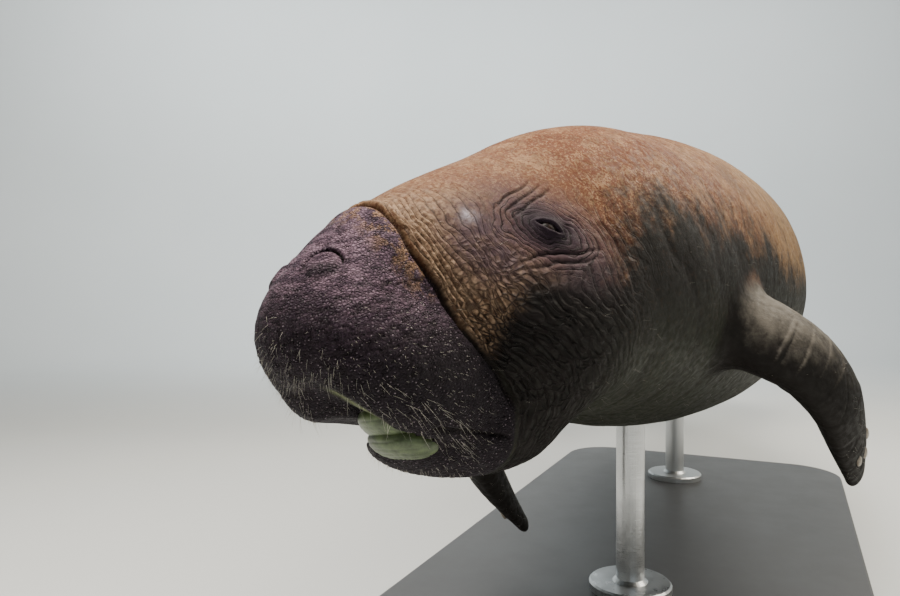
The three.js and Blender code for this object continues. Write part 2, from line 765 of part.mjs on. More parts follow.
function addNode(name, geometry, finish) {
  const mesh = new THREE.Mesh(geometry, finish);
  mesh.name = name;
  model.add(mesh);
}

const headParts = makeHead();
const belowUpperPad = solidOf(ellipsoid(LOWER_PAD, GAP));
addNode('snout', posed(geometryFrom(headParts.snout)), material(dark, 0.75));
addNode('lower_jaw', posed(geometryFrom(headParts.lower_jaw)), material(dark, 0.75));
addNode('head', posed(geometryFrom(headParts.head)), material(hide, 0.8));
addNode('mouth_pad_lower', posed(ellipsoid(LOWER_PAD, 0)), material(0xb5bd8f, 0.6));
addNode('mouth_pad_upper',
  posed(geometryFrom(largest(solidOf(ellipsoid(UPPER_PAD, 0)).subtract(belowUpperPad)))),
  material(0xb5bd8f, 0.6));

for (const [name, side] of [['left', 1], ['right', -1]]) {
  addNode(`eye_${name}`, posed(eyeBall(side, 0)), material(0x0b0808, 0.15));
}

addNode('neck', trunkLength(HEAD_END, NECK_END), material(hide, 0.85));
addNode('chest', trunkLength(NECK_END, CHEST_END), material(hide, 0.85));
addNode('abdomen', trunkLength(CHEST_END, ABDOMEN_END), material(hide, 0.85));
addNode('rump', trunkLength(ABDOMEN_END, RUMP_END), material(hide, 0.85));
addNode('tail_stock', trunkLength(RUMP_END, STOCK_END), material(hide, 0.85));
addNode('tail_paddle', trunkLength(STOCK_END, LENGTH), material(hide, 0.85));

// Trunk a little larger all round, so that what grows from it meets it with the gap
const grown = [[HEAD_END, NECK_END], [NECK_END - GAP, CHEST_END]]
  .map(([y0, y1]) => solidOf(trunkLength(y0, y1, GAP)))
  .reduce((a, b) => a.add(b));

for (const [name, side] of [['left', 1], ['right', -1]]) {
  let arm = solidOf(posed(flipper(side))).subtract(grown);
  NAILS.forEach((spot, i) => {
    arm = arm.subtract(solidOf(posed(nail(side, spot, GAP))));
    addNode(`nail_${name}_${i + 1}`, posed(nail(side, spot, 0)), material(0x8a7f70, 0.5));
  });
  addNode(`flipper_${name}`, geometryFrom(largest(arm)), material(hide, 0.85));
}

const steel = material(0x9a9d9f, 0.35, 0.9);
addNode('stand_base', standBase(), material(0x2c2c2e, 0.5));
for (const [name, y, y0, y1] of [
  ['front', RODS.front, NECK_END, CHEST_END],
  ['rear', RODS.rear, ABDOMEN_END, RUMP_END],
]) {
  const belly = solidOf(trunkLength(y0, y1)).translate([0, 0, -GAP]);
  addNode(`stand_rod_${name}`, geometryFrom(standRod(y, belly)), steel);
}

export default model;
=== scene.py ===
# Manatee on its display stand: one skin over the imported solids, with its folds, eyes, mouth pads,
# nails and bristles, in a plain pale studio. Lengths of the animal are in millimetres in its
# straight frame (x to its left, y back from the tip of the muzzle, z up) until pose() bends it.
import math

import bpy
import numpy as np
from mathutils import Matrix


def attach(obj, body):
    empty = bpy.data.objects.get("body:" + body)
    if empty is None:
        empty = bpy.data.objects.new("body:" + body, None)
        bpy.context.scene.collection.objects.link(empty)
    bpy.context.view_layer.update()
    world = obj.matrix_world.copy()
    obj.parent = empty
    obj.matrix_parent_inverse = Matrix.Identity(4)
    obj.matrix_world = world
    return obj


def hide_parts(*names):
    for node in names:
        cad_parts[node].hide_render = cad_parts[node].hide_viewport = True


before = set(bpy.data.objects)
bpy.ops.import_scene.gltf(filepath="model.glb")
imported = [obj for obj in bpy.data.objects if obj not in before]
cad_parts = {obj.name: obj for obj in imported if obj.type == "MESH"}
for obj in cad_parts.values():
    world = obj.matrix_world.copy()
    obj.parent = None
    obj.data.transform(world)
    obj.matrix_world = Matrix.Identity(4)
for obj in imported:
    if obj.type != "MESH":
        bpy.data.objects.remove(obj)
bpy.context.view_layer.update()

import openvdb
from mathutils import Vector

MM = 0.001

# Driving dimensions, as in the solids
LENGTH = 2750.0
PADDLE = 2520.0
TIP_POWER = 2.3
TIP_THINNING = 0.35

# Sections of the trunk and tail: y, half width, top, bottom, roundness of the section
SECTIONS = np.array([
    (60, 40, 36, -60, 2.1),
    (110, 62, 79, -90, 2.1),
    (160, 82, 100, -112, 2.1),
    (210, 99, 114, -128, 2.1),
    (260, 112, 126, -140, 2.1),
    (330, 128, 146, -150, 2.15),
    (400, 146, 163, -160, 2.15),
    (480, 170, 182, -174, 2.15),
    (580, 198, 201, -196, 2.15),
    (720, 228, 218, -222, 2.15),
    (900, 254, 233, -246, 2.15),
    (1150, 274, 244, -262, 2.15),
    (1400, 268, 238, -252, 2.15),
    (1650, 234, 206, -216, 2.1),
    (1850, 188, 160, -168, 2.05),
    (2000, 158, 118, -120, 2.0),
    (2120, 168, 82, -78, 1.8),
    (2250, 232, 50, -46, 1.6),
    (2390, 288, 34, -31, 1.5),
    (2520, 306, 26, -24, 1.5),
])

# Rounded masses of the head, mirrored in x: centre, radii, tilt with the nose end down, blend
NASAL = ((0, 98, 27), (58, 84, 45), 34, 0)
LIP_PAD = ((41, 115, -52), (38, 99, 58), -34, 22)
DISC = ((0, 64, -12), (52, 54, 52), 0, 22)
LIP_LOBE = ((27, 67, -58), (25, 31, 26), 0, 14)
CHIN = ((0, 183, -129), (56, 98, 39), -14, 0)
THROAT = ((0, 245, -98), (92, 90, 62), 0, 30)
JOWL = ((70, 270, -45), (54, 90, 76), 0, 40)
LOWER_LIP = ((1, 120, -126), (36, 35, 14), -28, 8)
CHIN_BLEND = 12.0
MUZZLE_BLEND = 8.0
HEAD_REACH = 460.0

# Openings and small forms of the head
CLEFT = ((14, 46, -97), (38, 60, 30), -49, 8)
MOUTH = ((-12, 112, -107), (62, 62, 10), -20, 4)
UPPER_PAD = ((7, 98, -98), (29, 24, 13), -38, 0)
LOWER_PAD = ((8, 110, -117), (35, 29, 16), -28, 0)
EYE = np.array((105.0, 236.0, 35.0))
EYE_SLANT = 40.0
EYE_RADIUS = 11.0
EYE_SUNK = 7.0
LID_SWELL, LID_SUNK = 14.0, 9.0
LID_OPEN, LID_LONG = 3.2, 11.0
LID_BLEND, LID_RIM, LID_DEEP, LID_REACH = 9.0, 2.0, 12.0, 16.0
NOSTRIL = np.array((31.0, 50.0, 38.0))
NOSTRIL_RADIUS = 16.0
NOSTRIL_SWELL = 3.2

# Flipper: middle of the section x, y, z, half chord and half thickness, from the root out
FLIPPER = np.array([
    (105, 588, -72, 66, 58),
    (150, 584, -98, 62, 50),
    (198, 585, -134, 57, 41),
    (234, 602, -180, 54, 33),
    (249, 636, -232, 48, 26),
    (250, 676, -283, 41, 19),
    (247, 712, -330, 27, 12),
], float)
FLIPPER_CHORD = np.array((0.4, 0.86, 0.3))
FLIPPER_TIP = 20.0
FLIPPER_BLEND = 26.0
FLIPPER_STEPS = 18
FLIPPER_SPAN = (480.0, 840.0)
FLIPPER_TOP, FLIPPER_INNER = 60.0, 60.0
FLIPPER_TINT = (2.0, 24.0)

# Pitch of the grooves round each mouth pad
PAD_RIDGES = {"upper": 4.5, "lower": 5.0}

# Nails on the back of each flipper: place along the flipper and across its chord
NAILS = ((5.15, 0.5), (5.4, 0.02), (5.3, -0.5))
NAIL_RADII = np.array((9.0, 7.0, 3.0))

# Pose: turn, nod and bank in degrees, and where along the animal each of them takes place
HEAD_TURN, HEAD_NOD, HEAD_BANK = 20.0, -8.0, 9.0
TRUNK_BANK = 15.5
TAIL_TURN, TAIL_DROOP = -11.0, 3.0
NECK_BEND = (300.0, 570.0)
TAIL_BEND = (900.0, 2200.0)
NECK_SIDE, NECK_RISE = 34.0, 18.0
PIVOT = 700.0
SPINE_START, SPINE_STEP = -100.0, 5.0
AXIS_HEIGHT = 565.0
MIDDLE = 1180.0

# Fineness of the skin
BASE_CELL = 5.0
FINE_NECK, FINE_HEAD = 600.0, 335.0
FINE_ARM_SIDE, FINE_ARM_HEIGHT, FINE_ARM_END = 190.0, -90.0, 860.0
SPACE_LOW = np.array((-345.0, -20.0, -430.0))
SPACE_HIGH = np.array((345.0, LENGTH + 20.0, 275.0))
GRID_BAND = 3

# Camera, in the finished part's frame
CAMERA_PLACE = (0.243, -1.572, 0.554)
CAMERA_TURN, CAMERA_NOD = 25.1, -0.76
PHOTO_WIDTH, FOCAL_PX = 900, 720
SENSOR = 36.0


# Maths of the forms

def profile(xs, ys):
    """Smooth curve through points that never overshoots them."""
    xs, ys = np.asarray(xs, float), np.asarray(ys, float)
    run = np.diff(xs)
    slope = np.diff(ys) / run
    m = np.zeros_like(ys)
    for i in range(1, len(xs) - 1):
        if slope[i - 1] * slope[i] > 0:
            before = 2 * run[i] + run[i - 1]
            after = run[i] + 2 * run[i - 1]
            m[i] = (before + after) / (before / slope[i - 1] + after / slope[i])
    m[0], m[-1] = slope[0], slope[-1]

    def at(q):
        q = np.clip(q, xs[0], xs[-1])
        i = np.clip(np.searchsorted(xs, q) - 1, 0, len(xs) - 2)
        t = (q - xs[i]) / run[i]
        s = 1 - t
        return ((1 + 2 * t) * s * s * ys[i] + t * s * s * run[i] * m[i]
                + t * t * (3 - 2 * t) * ys[i + 1] - t * t * s * run[i] * m[i + 1])
    return at


def melt(a, b, k):
    """Union of two fields that melts over the width k."""
    if k <= 0:
        return np.minimum(a, b)
    h = np.maximum(k - np.abs(a - b), 0) / k
    return np.minimum(a, b) - h * h * k * 0.25


def carve(a, b, k):
    """Field a less the form b, with its rim rounded over the width k."""
    return -melt(-a, b, k)


def ease(x, start, end):
    """0 before the start, 1 past the end, and smooth between them."""
    t = np.clip((x - start) / (end - start), 0, 1)
    return t * t * (3 - 2 * t)


def bell(x, width, power=2):
    """1 at zero, and falling off over the width on both sides."""
    return np.exp(-(x / width) ** power)


def mass(form, p):
    """About the distance to a tilted ellipsoid and to its mirror image in x."""
    return single(form, p, np.abs(p[:, 0]))


def single(form, p, x=None):
    """About the distance to a tilted ellipsoid."""
    centre, radii, tilt, _ = form
    lean = math.radians(tilt)
    dx = (p[:, 0] if x is None else x) - centre[0]
    dy = p[:, 1] - centre[1]
    dz = p[:, 2] - centre[2]
    u = dy * math.cos(lean) + dz * math.sin(lean)
    v = dz * math.cos(lean) - dy * math.sin(lean)
    a, b, c = radii
    near = np.sqrt((dx / a) ** 2 + (u / b) ** 2 + (v / c) ** 2)
    rate = np.sqrt((dx / a ** 2) ** 2 + (u / b ** 2) ** 2 + (v / c ** 2) ** 2)
    return near * (near - 1) / np.maximum(rate, 1e-9)


half_width, top_line, bottom_line, roundness = (
    profile(SECTIONS[:, 0], SECTIONS[:, k]) for k in (1, 2, 3, 4))


def section(y):
    """Half width, top, bottom and roundness of the trunk and tail at y."""
    e = np.clip((y - PADDLE) / (LENGTH - PADDLE), 0, 1)
    close = np.sqrt(np.maximum(1 - e ** TIP_POWER, 0))
    thin = close * (1 - TIP_THINNING * e)
    return half_width(y) * close, top_line(y) * thin, bottom_line(y) * thin, roundness(y)


def trunk_field(p):
    x, y, z = p.T
    a, top, bottom, n = section(y)
    wide = np.maximum(a, 0.5)
    high = np.maximum((top - bottom) / 2, 0.5)
    middle = (top + bottom) / 2
    q = (np.abs(x / wide) ** n + np.abs((z - middle) / high) ** n) ** (1 / n)
    d = (q - 1) * np.minimum(wide, high)
    return np.maximum(d, np.maximum(SECTIONS[0, 0] - y, y - LENGTH))


def head_field(p, d):
    """The trunk's field d with the masses of the head added."""
    d = melt(d, mass(JOWL, p), JOWL[3])
    chin = melt(mass(CHIN, p), mass(THROAT, p), THROAT[3])
    chin = melt(chin, single(LOWER_LIP, p), LOWER_LIP[3])
    d = melt(d, chin, CHIN_BLEND)
    muzzle = mass(NASAL, p)
    for form in (LIP_PAD, DISC, LIP_LOBE):
        muzzle = melt(muzzle, mass(form, p), form[3])
    return melt(d, muzzle, MUZZLE_BLEND)


def plain_head(p):
    return head_field(p, trunk_field(p))


def gradient(field, p, h=0.5):
    g = np.empty_like(p)
    for k in range(3):
        step = np.zeros(3)
        step[k] = h
        g[:, k] = (field(p + step) - field(p - step)) / (2 * h)
    return g


def unit(v):
    return v / np.maximum(np.linalg.norm(v, axis=-1, keepdims=True), 1e-9)


def settle(field, p, steps=3, reach=2.0):
    """Newton steps of points onto the zero level of a field."""
    p = p.copy()
    for _ in range(steps):
        d = field(p)
        g = gradient(field, p)
        move = np.clip(d / np.maximum((g * g).sum(1), 0.2), -reach, reach)
        p -= g * move[:, None]
    return p


def surface_spot(point):
    """The point of the plain head that is nearest to a named place, and its outward direction."""
    spot = settle(plain_head, np.array([point], float), 8, 20.0)
    return spot[0], unit(gradient(plain_head, spot))[0]


EYE_SPOT, EYE_OUT = surface_spot(EYE)
NOSTRIL_SPOT = surface_spot(NOSTRIL)[0]
NOSTRIL_UP = unit(np.array((-0.25, 0.45, 1.0)))


def eye_axes():
    """Directions along the eye, towards its lower back corner, and across it."""
    level = unit(np.cross(EYE_OUT, (0.0, 0.0, 1.0)))
    level = level * np.sign(level[1])
    up = np.cross(EYE_OUT, level)
    up = up * np.sign(up[2])
    slant = math.radians(EYE_SLANT)
    return (level * math.cos(slant) - up * math.sin(slant),
            level * math.sin(slant) + up * math.cos(slant))


EYE_ALONG, EYE_ACROSS = eye_axes()


def lid_gap(along, across):
    """Below 0 within the almond between the lids."""
    return np.abs(across) + LID_OPEN * ((along / LID_LONG) ** 2 - 1)


def small_forms(p, d):
    """Mouth and lids, cut into and raised on the head's field d."""
    q = p.copy()
    q[:, 0] = np.abs(q[:, 0])
    d = carve(d, single(CLEFT, p), CLEFT[3])
    d = carve(d, single(MOUTH, p), MOUTH[3])
    r = q - EYE_SPOT
    out = r @ EYE_OUT
    swell = np.linalg.norm(r + LID_SUNK * EYE_OUT, axis=1) - LID_SWELL
    d = melt(d, swell, LID_BLEND)
    gap = lid_gap(r @ EYE_ALONG, r @ EYE_ACROSS)
    return carve(d, np.maximum(gap, np.abs(out) - LID_DEEP), LID_RIM)


flipper_column = [profile(np.arange(len(FLIPPER)), FLIPPER[:, k]) for k in range(5)]


def flipper_frame(t):
    at = lambda s: np.array([flipper_column[k](s) for k in range(3)])
    last = len(FLIPPER) - 1
    along = unit(at(min(t + 0.05, last)) - at(max(t - 0.05, 0)))
    chord = unit(FLIPPER_CHORD - (FLIPPER_CHORD @ along) * along)
    face = np.cross(along, chord)
    return at(t), along, chord, face, flipper_column[3](t), flipper_column[4](t)


FLIPPER_FRAMES = [flipper_frame(t) for t in np.linspace(0, len(FLIPPER) - 1, FLIPPER_STEPS)]


def flipper_field(p):
    """Both flippers: short lengths between neighbouring sections, and a rounded tip."""
    q = p.copy()
    q[:, 0] = np.abs(q[:, 0])
    best = np.full(len(q), 1e3)
    for a, b in zip(FLIPPER_FRAMES[:-1], FLIPPER_FRAMES[1:]):
        line = b[0] - a[0]
        t = np.clip((q - a[0]) @ line / (line @ line), 0, 1)
        mix = lambda i: a[i] + (b[i] - a[i]) * t[:, None]
        r = q - mix(0)
        wide = a[4] + (b[4] - a[4]) * t
        thick = a[5] + (b[5] - a[5]) * t
        u = (r * mix(2)).sum(1) / wide
        w = (r * mix(3)).sum(1) / thick
        v = (r * mix(1)).sum(1) / FLIPPER_TIP
        best = np.minimum(best, (np.sqrt(u * u + w * w + v * v) - 1) * thick)
    return best


def by_flipper(p):
    """Which points lie in the space round the flippers."""
    return ((p[:, 1] > FLIPPER_SPAN[0]) & (p[:, 1] < FLIPPER_SPAN[1])
            & (p[:, 2] < FLIPPER_TOP) & (np.abs(p[:, 0]) > FLIPPER_INNER))


def arm_share(p):
    """How far a point belongs to a flipper, from 0 to 1."""
    share = np.zeros(len(p))
    arm = by_flipper(p)
    share[arm] = 1 - ease(flipper_field(p[arm]), *FLIPPER_TINT)
    return share


def flesh(p):
    """Field of all the flesh, negative inside."""
    d = trunk_field(p)
    head = p[:, 1] < HEAD_REACH
    if head.any():
        d[head] = head_field(p[head], d[head])
    face = p[:, 1] < FINE_HEAD
    if face.any():
        d[face] = small_forms(p[face], d[face])
    arm = by_flipper(p)
    if arm.any():
        d[arm] = melt(d[arm], flipper_field(p[arm]), FLIPPER_BLEND)
    return d


# Pose

def make_spine():
    ys = np.arange(SPINE_START, LENGTH + 101, SPINE_STEP)
    head = 1 - ease(ys, *NECK_BEND)
    tail = ease(ys, *TAIL_BEND)
    turn = np.radians(HEAD_TURN * head + TAIL_TURN * tail)
    nod = np.radians(HEAD_NOD * head + TAIL_DROOP * tail)
    bank = np.radians(TRUNK_BANK + (HEAD_BANK - TRUNK_BANK) * head)[:, None]
    back = np.stack([np.sin(turn) * np.cos(nod), np.cos(turn) * np.cos(nod), -np.sin(nod)], 1)
    left = np.stack([np.cos(turn), -np.sin(turn), np.zeros_like(turn)], 1)
    up = np.cross(left, back)
    centre = np.zeros_like(back)
    centre[1:] = np.cumsum((back[1:] + back[:-1]) / 2 * SPINE_STEP, 0)
    centre -= centre[int((PIVOT - SPINE_START) / SPINE_STEP)]
    slide = head[:, None]
    centre += slide * np.array((NECK_SIDE, 0, NECK_RISE))
    centre += np.array((0, PIVOT - MIDDLE, AXIS_HEIGHT))
    return (centre, left * np.cos(bank) + up * np.sin(bank),
            up * np.cos(bank) - left * np.sin(bank))


SPINE = make_spine()


def spine_at(p):
    f = (p[:, 1] - SPINE_START) / SPINE_STEP
    i = np.clip(f.astype(int), 0, len(SPINE[0]) - 2)
    t = (f - i)[:, None]
    return [v[i] * (1 - t) + v[i + 1] * t for v in SPINE]


def pose(p):
    """Points of the straight animal, in metres in the finished part's frame."""
    centre, left, up = spine_at(p)
    return (centre + p[:, :1] * left + p[:, 2:] * up) * MM


# Noise in space, from hashed lattice points, the same on every run

def lattice(cell, seed):
    """A number from 0 to 1 for each whole-numbered cell."""
    c = cell.astype(np.int64)
    h = c[..., 0] * 73856093 ^ c[..., 1] * 19349663 ^ c[..., 2] * 83492791 ^ seed * 2654435761
    h = (h ^ (h >> 13)) * 1274126177 & 0xffffffff
    h = (h ^ (h >> 16)) * 2246822519 & 0xffffffff
    return ((h ^ (h >> 15)) & 0xffffff) / float(0x1000000)


CORNERS = np.array([(i, j, k) for i in (0, 1) for j in (0, 1) for k in (0, 1)])
AROUND = np.array([(i, j, k) for i in (-1, 0, 1) for j in (-1, 0, 1) for k in (-1, 0, 1)])


def noise(p, seed):
    """Smooth noise from -1 to 1 with one swell to each unit of length."""
    cell = np.floor(p)
    t = p - cell
    t = t * t * t * (t * (t * 6 - 15) + 10)
    total = np.zeros(len(p))
    for corner in CORNERS:
        weight = np.where(corner, t, 1 - t).prod(1)
        total += weight * lattice(cell + corner, seed)
    return total * 2 - 1


def layered(p, seed, layers=3):
    return sum(noise(p * 2 ** k, seed + k) / 2 ** k for k in range(layers)) / 1.5


def pebbles(p, seed):
    """Distance to the nearest of scattered points, one to a unit cell."""
    cell = np.floor(p)
    near = np.full(len(p), 9.0)
    for step in AROUND:
        c = cell + step
        spot = c + np.stack([lattice(c, seed + k) for k in range(3)], 1)
        near = np.minimum(near, np.sqrt(((p - spot) ** 2).sum(1)))
    return near


# The skin's surface

def coarse_surface():
    """Squares on the zero level of the flesh, from one grid of the whole animal."""
    n = np.ceil((SPACE_HIGH - SPACE_LOW) / BASE_CELL).astype(int) + 1
    xs, ys, zs = (SPACE_LOW[k] + np.arange(n[k]) * BASE_CELL for k in range(3))
    grid = np.empty(n, np.float32)
    across, up = np.meshgrid(xs, zs, indexing="ij")
    plane = np.stack([across.ravel(), np.zeros(across.size), up.ravel()], 1)
    for j, y in enumerate(ys):
        plane[:, 1] = y
        grid[:, j, :] = flesh(plane).reshape(across.shape)
    reach = GRID_BAND * BASE_CELL
    volume = openvdb.FloatGrid(reach)
    volume.copyFromArray(np.clip(grid, -reach, reach))
    points, _, quads = volume.convertToPolygons(isovalue=0.0, adaptivity=0.0)
    return SPACE_LOW + points.astype(float) * BASE_CELL, quads.astype(np.int64)[:, ::-1]


def refine(points, quads, others, wanted):
    """Splits the wanted squares in four. A neighbour takes in the new points on its edges."""
    split = quads[wanted]
    pairs = np.sort(np.stack([split, np.roll(split, -1, 1)], 2).reshape(-1, 2), 1)
    code = pairs[:, 0] * len(points) + pairs[:, 1]
    known, where = np.unique(code, return_inverse=True)
    first, second = known // len(points), known % len(points)
    start = len(points)
    middles = (points[first] + points[second]) / 2
    centres = points[split].mean(1)
    edge = start + where.reshape(-1, 4)
    hub = start + len(middles) + np.arange(len(split))
    fine = [np.stack([split[:, k], edge[:, k], hub, edge[:, k - 1]], 1) for k in range(4)]
    rest = quads[~wanted]
    pairs = np.sort(np.stack([rest, np.roll(rest, -1, 1)], 2), 2)
    code = pairs[..., 0] * len(points) + pairs[..., 1]
    place = np.clip(np.searchsorted(known, code), 0, len(known) - 1)
    touched = known[place] == code
    border = touched.any(1)
    for corners, marks, spots in zip(rest[border], touched[border], place[border]):
        face = []
        for corner, mark, spot in zip(corners, marks, spots):
            face.append(int(corner))
            if mark:
                face.append(int(start + spot))
        others.append(face)
    points = np.concatenate([points, middles, centres])
    return points, np.concatenate([rest[~border]] + fine), others


def make_surface():
    points, quads = coarse_surface()
    points = settle(flesh, points, 3)
    others = []
    for limit in (FINE_NECK, FINE_HEAD):
        y = points[:, 1][quads].max(1)
        wanted = y < limit
        if limit == FINE_NECK:
            middle = points[quads].mean(1)
            wanted |= ((np.abs(middle[:, 0]) > FINE_ARM_SIDE) & (middle[:, 2] < FINE_ARM_HEIGHT)
                       & (y < FINE_ARM_END))
        fresh = len(points)
        points, quads, others = refine(points, quads, others, wanted)
        points[fresh:] = settle(flesh, points[fresh:], 2)
    return points, quads, others


# Folds and wrinkles

# The crease between muzzle and face as height z and place y, from the mouth's corner up
CREASE = np.array([
    (-110, 186), (-84, 172), (-70, 163), (-48, 148), (-30, 136), (-16, 130), (2, 126),
    (22, 120), (45, 114), (80, 116)], float)
crease_line = profile(CREASE[:, 0], CREASE[:, 1])
CREASE_LEAN = 1.12
CREASE_WIDTH, CREASE_DEEP = 2.1, 5.5

# Rolls of skin along the crease: place behind it, width and height
FACE_ROLL = (5.5, 3.6, 2.6)
MUZZLE_ROLL = (-9.0, 7.0, 2.2)

# Columns, rows and rings of the face's skin: how many, and the distance over which they widen
COLUMN_COUNT, COLUMN_SPREAD = 22.0, 96.0
ROW_PITCH = 6.5
RING_COUNT, RING_SPREAD = 9.5, 26.0
EYE_STRETCH, EYE_SQUEEZE = 1.3, 0.8
SIDE_SHIFT = 37.0

# Folds below the eye as distance and depth, and folds in front of it as distance
LOWER_FOLDS = ((-25.0, 2.4), (-33.0, 1.5))
FRONT_FOLDS = (-30.0, -39.0, -50.0)
FRONT_FOLD_DEEP = 1.7

# Spots on the face and their sizes, and the level fold of the muzzle as height and first place
SCAR_SPOT, SCAR_SIZE = np.array((70.0, 176.0, 57.0)), 6.5
BRUISE_SPOT, BRUISE_SIZE = np.array((84.0, 186.0, 38.0)), 46.0
EYE_BRUISE_SIZE, EYE_RING_SIZE = 56.0, 29.0
FOLD_HEIGHT, FOLD_START = 11.0, 62.0
PIMPLE_PITCH, PIMPLE_HEIGHT = 4.2, 0.55
NOSTRIL_ARC_DEEP = 3.4
MOUTH_LINE_WIDTH, MOUTH_LINE_DEEP = 1.8, 4.0
NECK_ROLL_PITCH, NECK_ROLL_HEIGHT = 13.0, 0.5
SWELL_LENGTH, SWELL_HEIGHT = 150.0, 2.0


def crease_depth(p):
    """How far behind the crease between the muzzle and the face a point lies."""
    return (p[:, 1] - crease_line(p[:, 2])) / CREASE_LEAN


def eye_place(p):
    """Stretched distance from the nearer eye, and the distances along and across it."""
    q = p.copy()
    q[:, 0] = np.abs(q[:, 0])
    r = q - EYE_SPOT
    along = r @ EYE_ALONG
    across = r @ EYE_ACROSS
    return np.hypot(along / EYE_STRETCH, across / EYE_SQUEEZE), along, across


def cracks(phase, width):
    """Grooves, 1 at their middle, where the phase passes whole numbers."""
    return 1 - ease(np.abs(phase - np.round(phase)), 0, width)


def pattern(p):
    """Phases and strengths of the skin's folds: columns run with the crease, rows cross them,
    and rings surround the eye."""
    x, y, z = p.T
    q = np.stack([np.abs(x) + np.where(x < 0, SIDE_SHIFT, 0.0), y, z], 1)
    wander = noise(q / 31, 3) + 0.45 * noise(q / 11, 4)
    behind = crease_depth(p) + 1.6 * noise(q / 24, 5)
    girth = 88 * np.arctan2(np.abs(x), z + 15)
    rho, along, across = eye_place(p)
    away = 1 - bell(rho, 44, 4)
    mirrored = np.stack([np.abs(x), y, z], 1)
    bruised = np.linalg.norm(mirrored - BRUISE_SPOT, axis=1)
    spot = mirrored - NOSTRIL_SPOT
    button = np.linalg.norm(spot, axis=1)
    upper = (spot @ NOSTRIL_UP) / np.maximum(button, 1)
    brow = bell(across - 0.35 * along - 20, 26) * ease(-along, 4, 24)
    face = ease(behind, 1, 5) * (1 - ease(y, 290, 380))
    face = face * (1 - 0.75 * ease(z + 0.3 * behind, 70, 120))
    low = ease(-z + 0.3 * y, 0, 90)
    return {
        "q": q,
        "behind": behind,
        "columns": (COLUMN_COUNT * np.log1p(np.maximum(behind, 0) / COLUMN_SPREAD)
                    + 0.8 * wander),
        "rows": girth / ROW_PITCH + 0.7 * noise(q / 13, 6),
        "rings": (RING_COUNT * np.log1p(rho / RING_SPREAD)
                  + 0.7 * noise(q / 14, 7) + 0.3 * noise(q / 6, 8)),
        "face": face * away,
        "pebbled": (face * away * (0.25 + 0.75 * low) * (1 - 0.5 * brow)
                    * (1 - 0.8 * ease(behind, 50, 110))),
        "eye_ring": bell(rho, EYE_RING_SIZE, 4),
        "bruise": (np.maximum(bell(rho, EYE_BRUISE_SIZE, 4), bell(bruised, BRUISE_SIZE, 4))
                   * ease(behind + 8 * noise(q / 12, 24), 10, 26)),
        "ringed": ease(rho, 9, 13) * (1 - ease(rho, 36, 60)) * face,
        "low": low,
        "nostril_top": ease(upper, -0.2, 0.3),
        "nostril_shade": ((1 - ease(button, NOSTRIL_RADIUS * 0.7, NOSTRIL_RADIUS * 1.3))
                          * ease(-upper, -0.4, 0.5)),
        "button": np.minimum(button / NOSTRIL_RADIUS, 3.0),
        "rho": rho, "along": along, "across": across,
    }


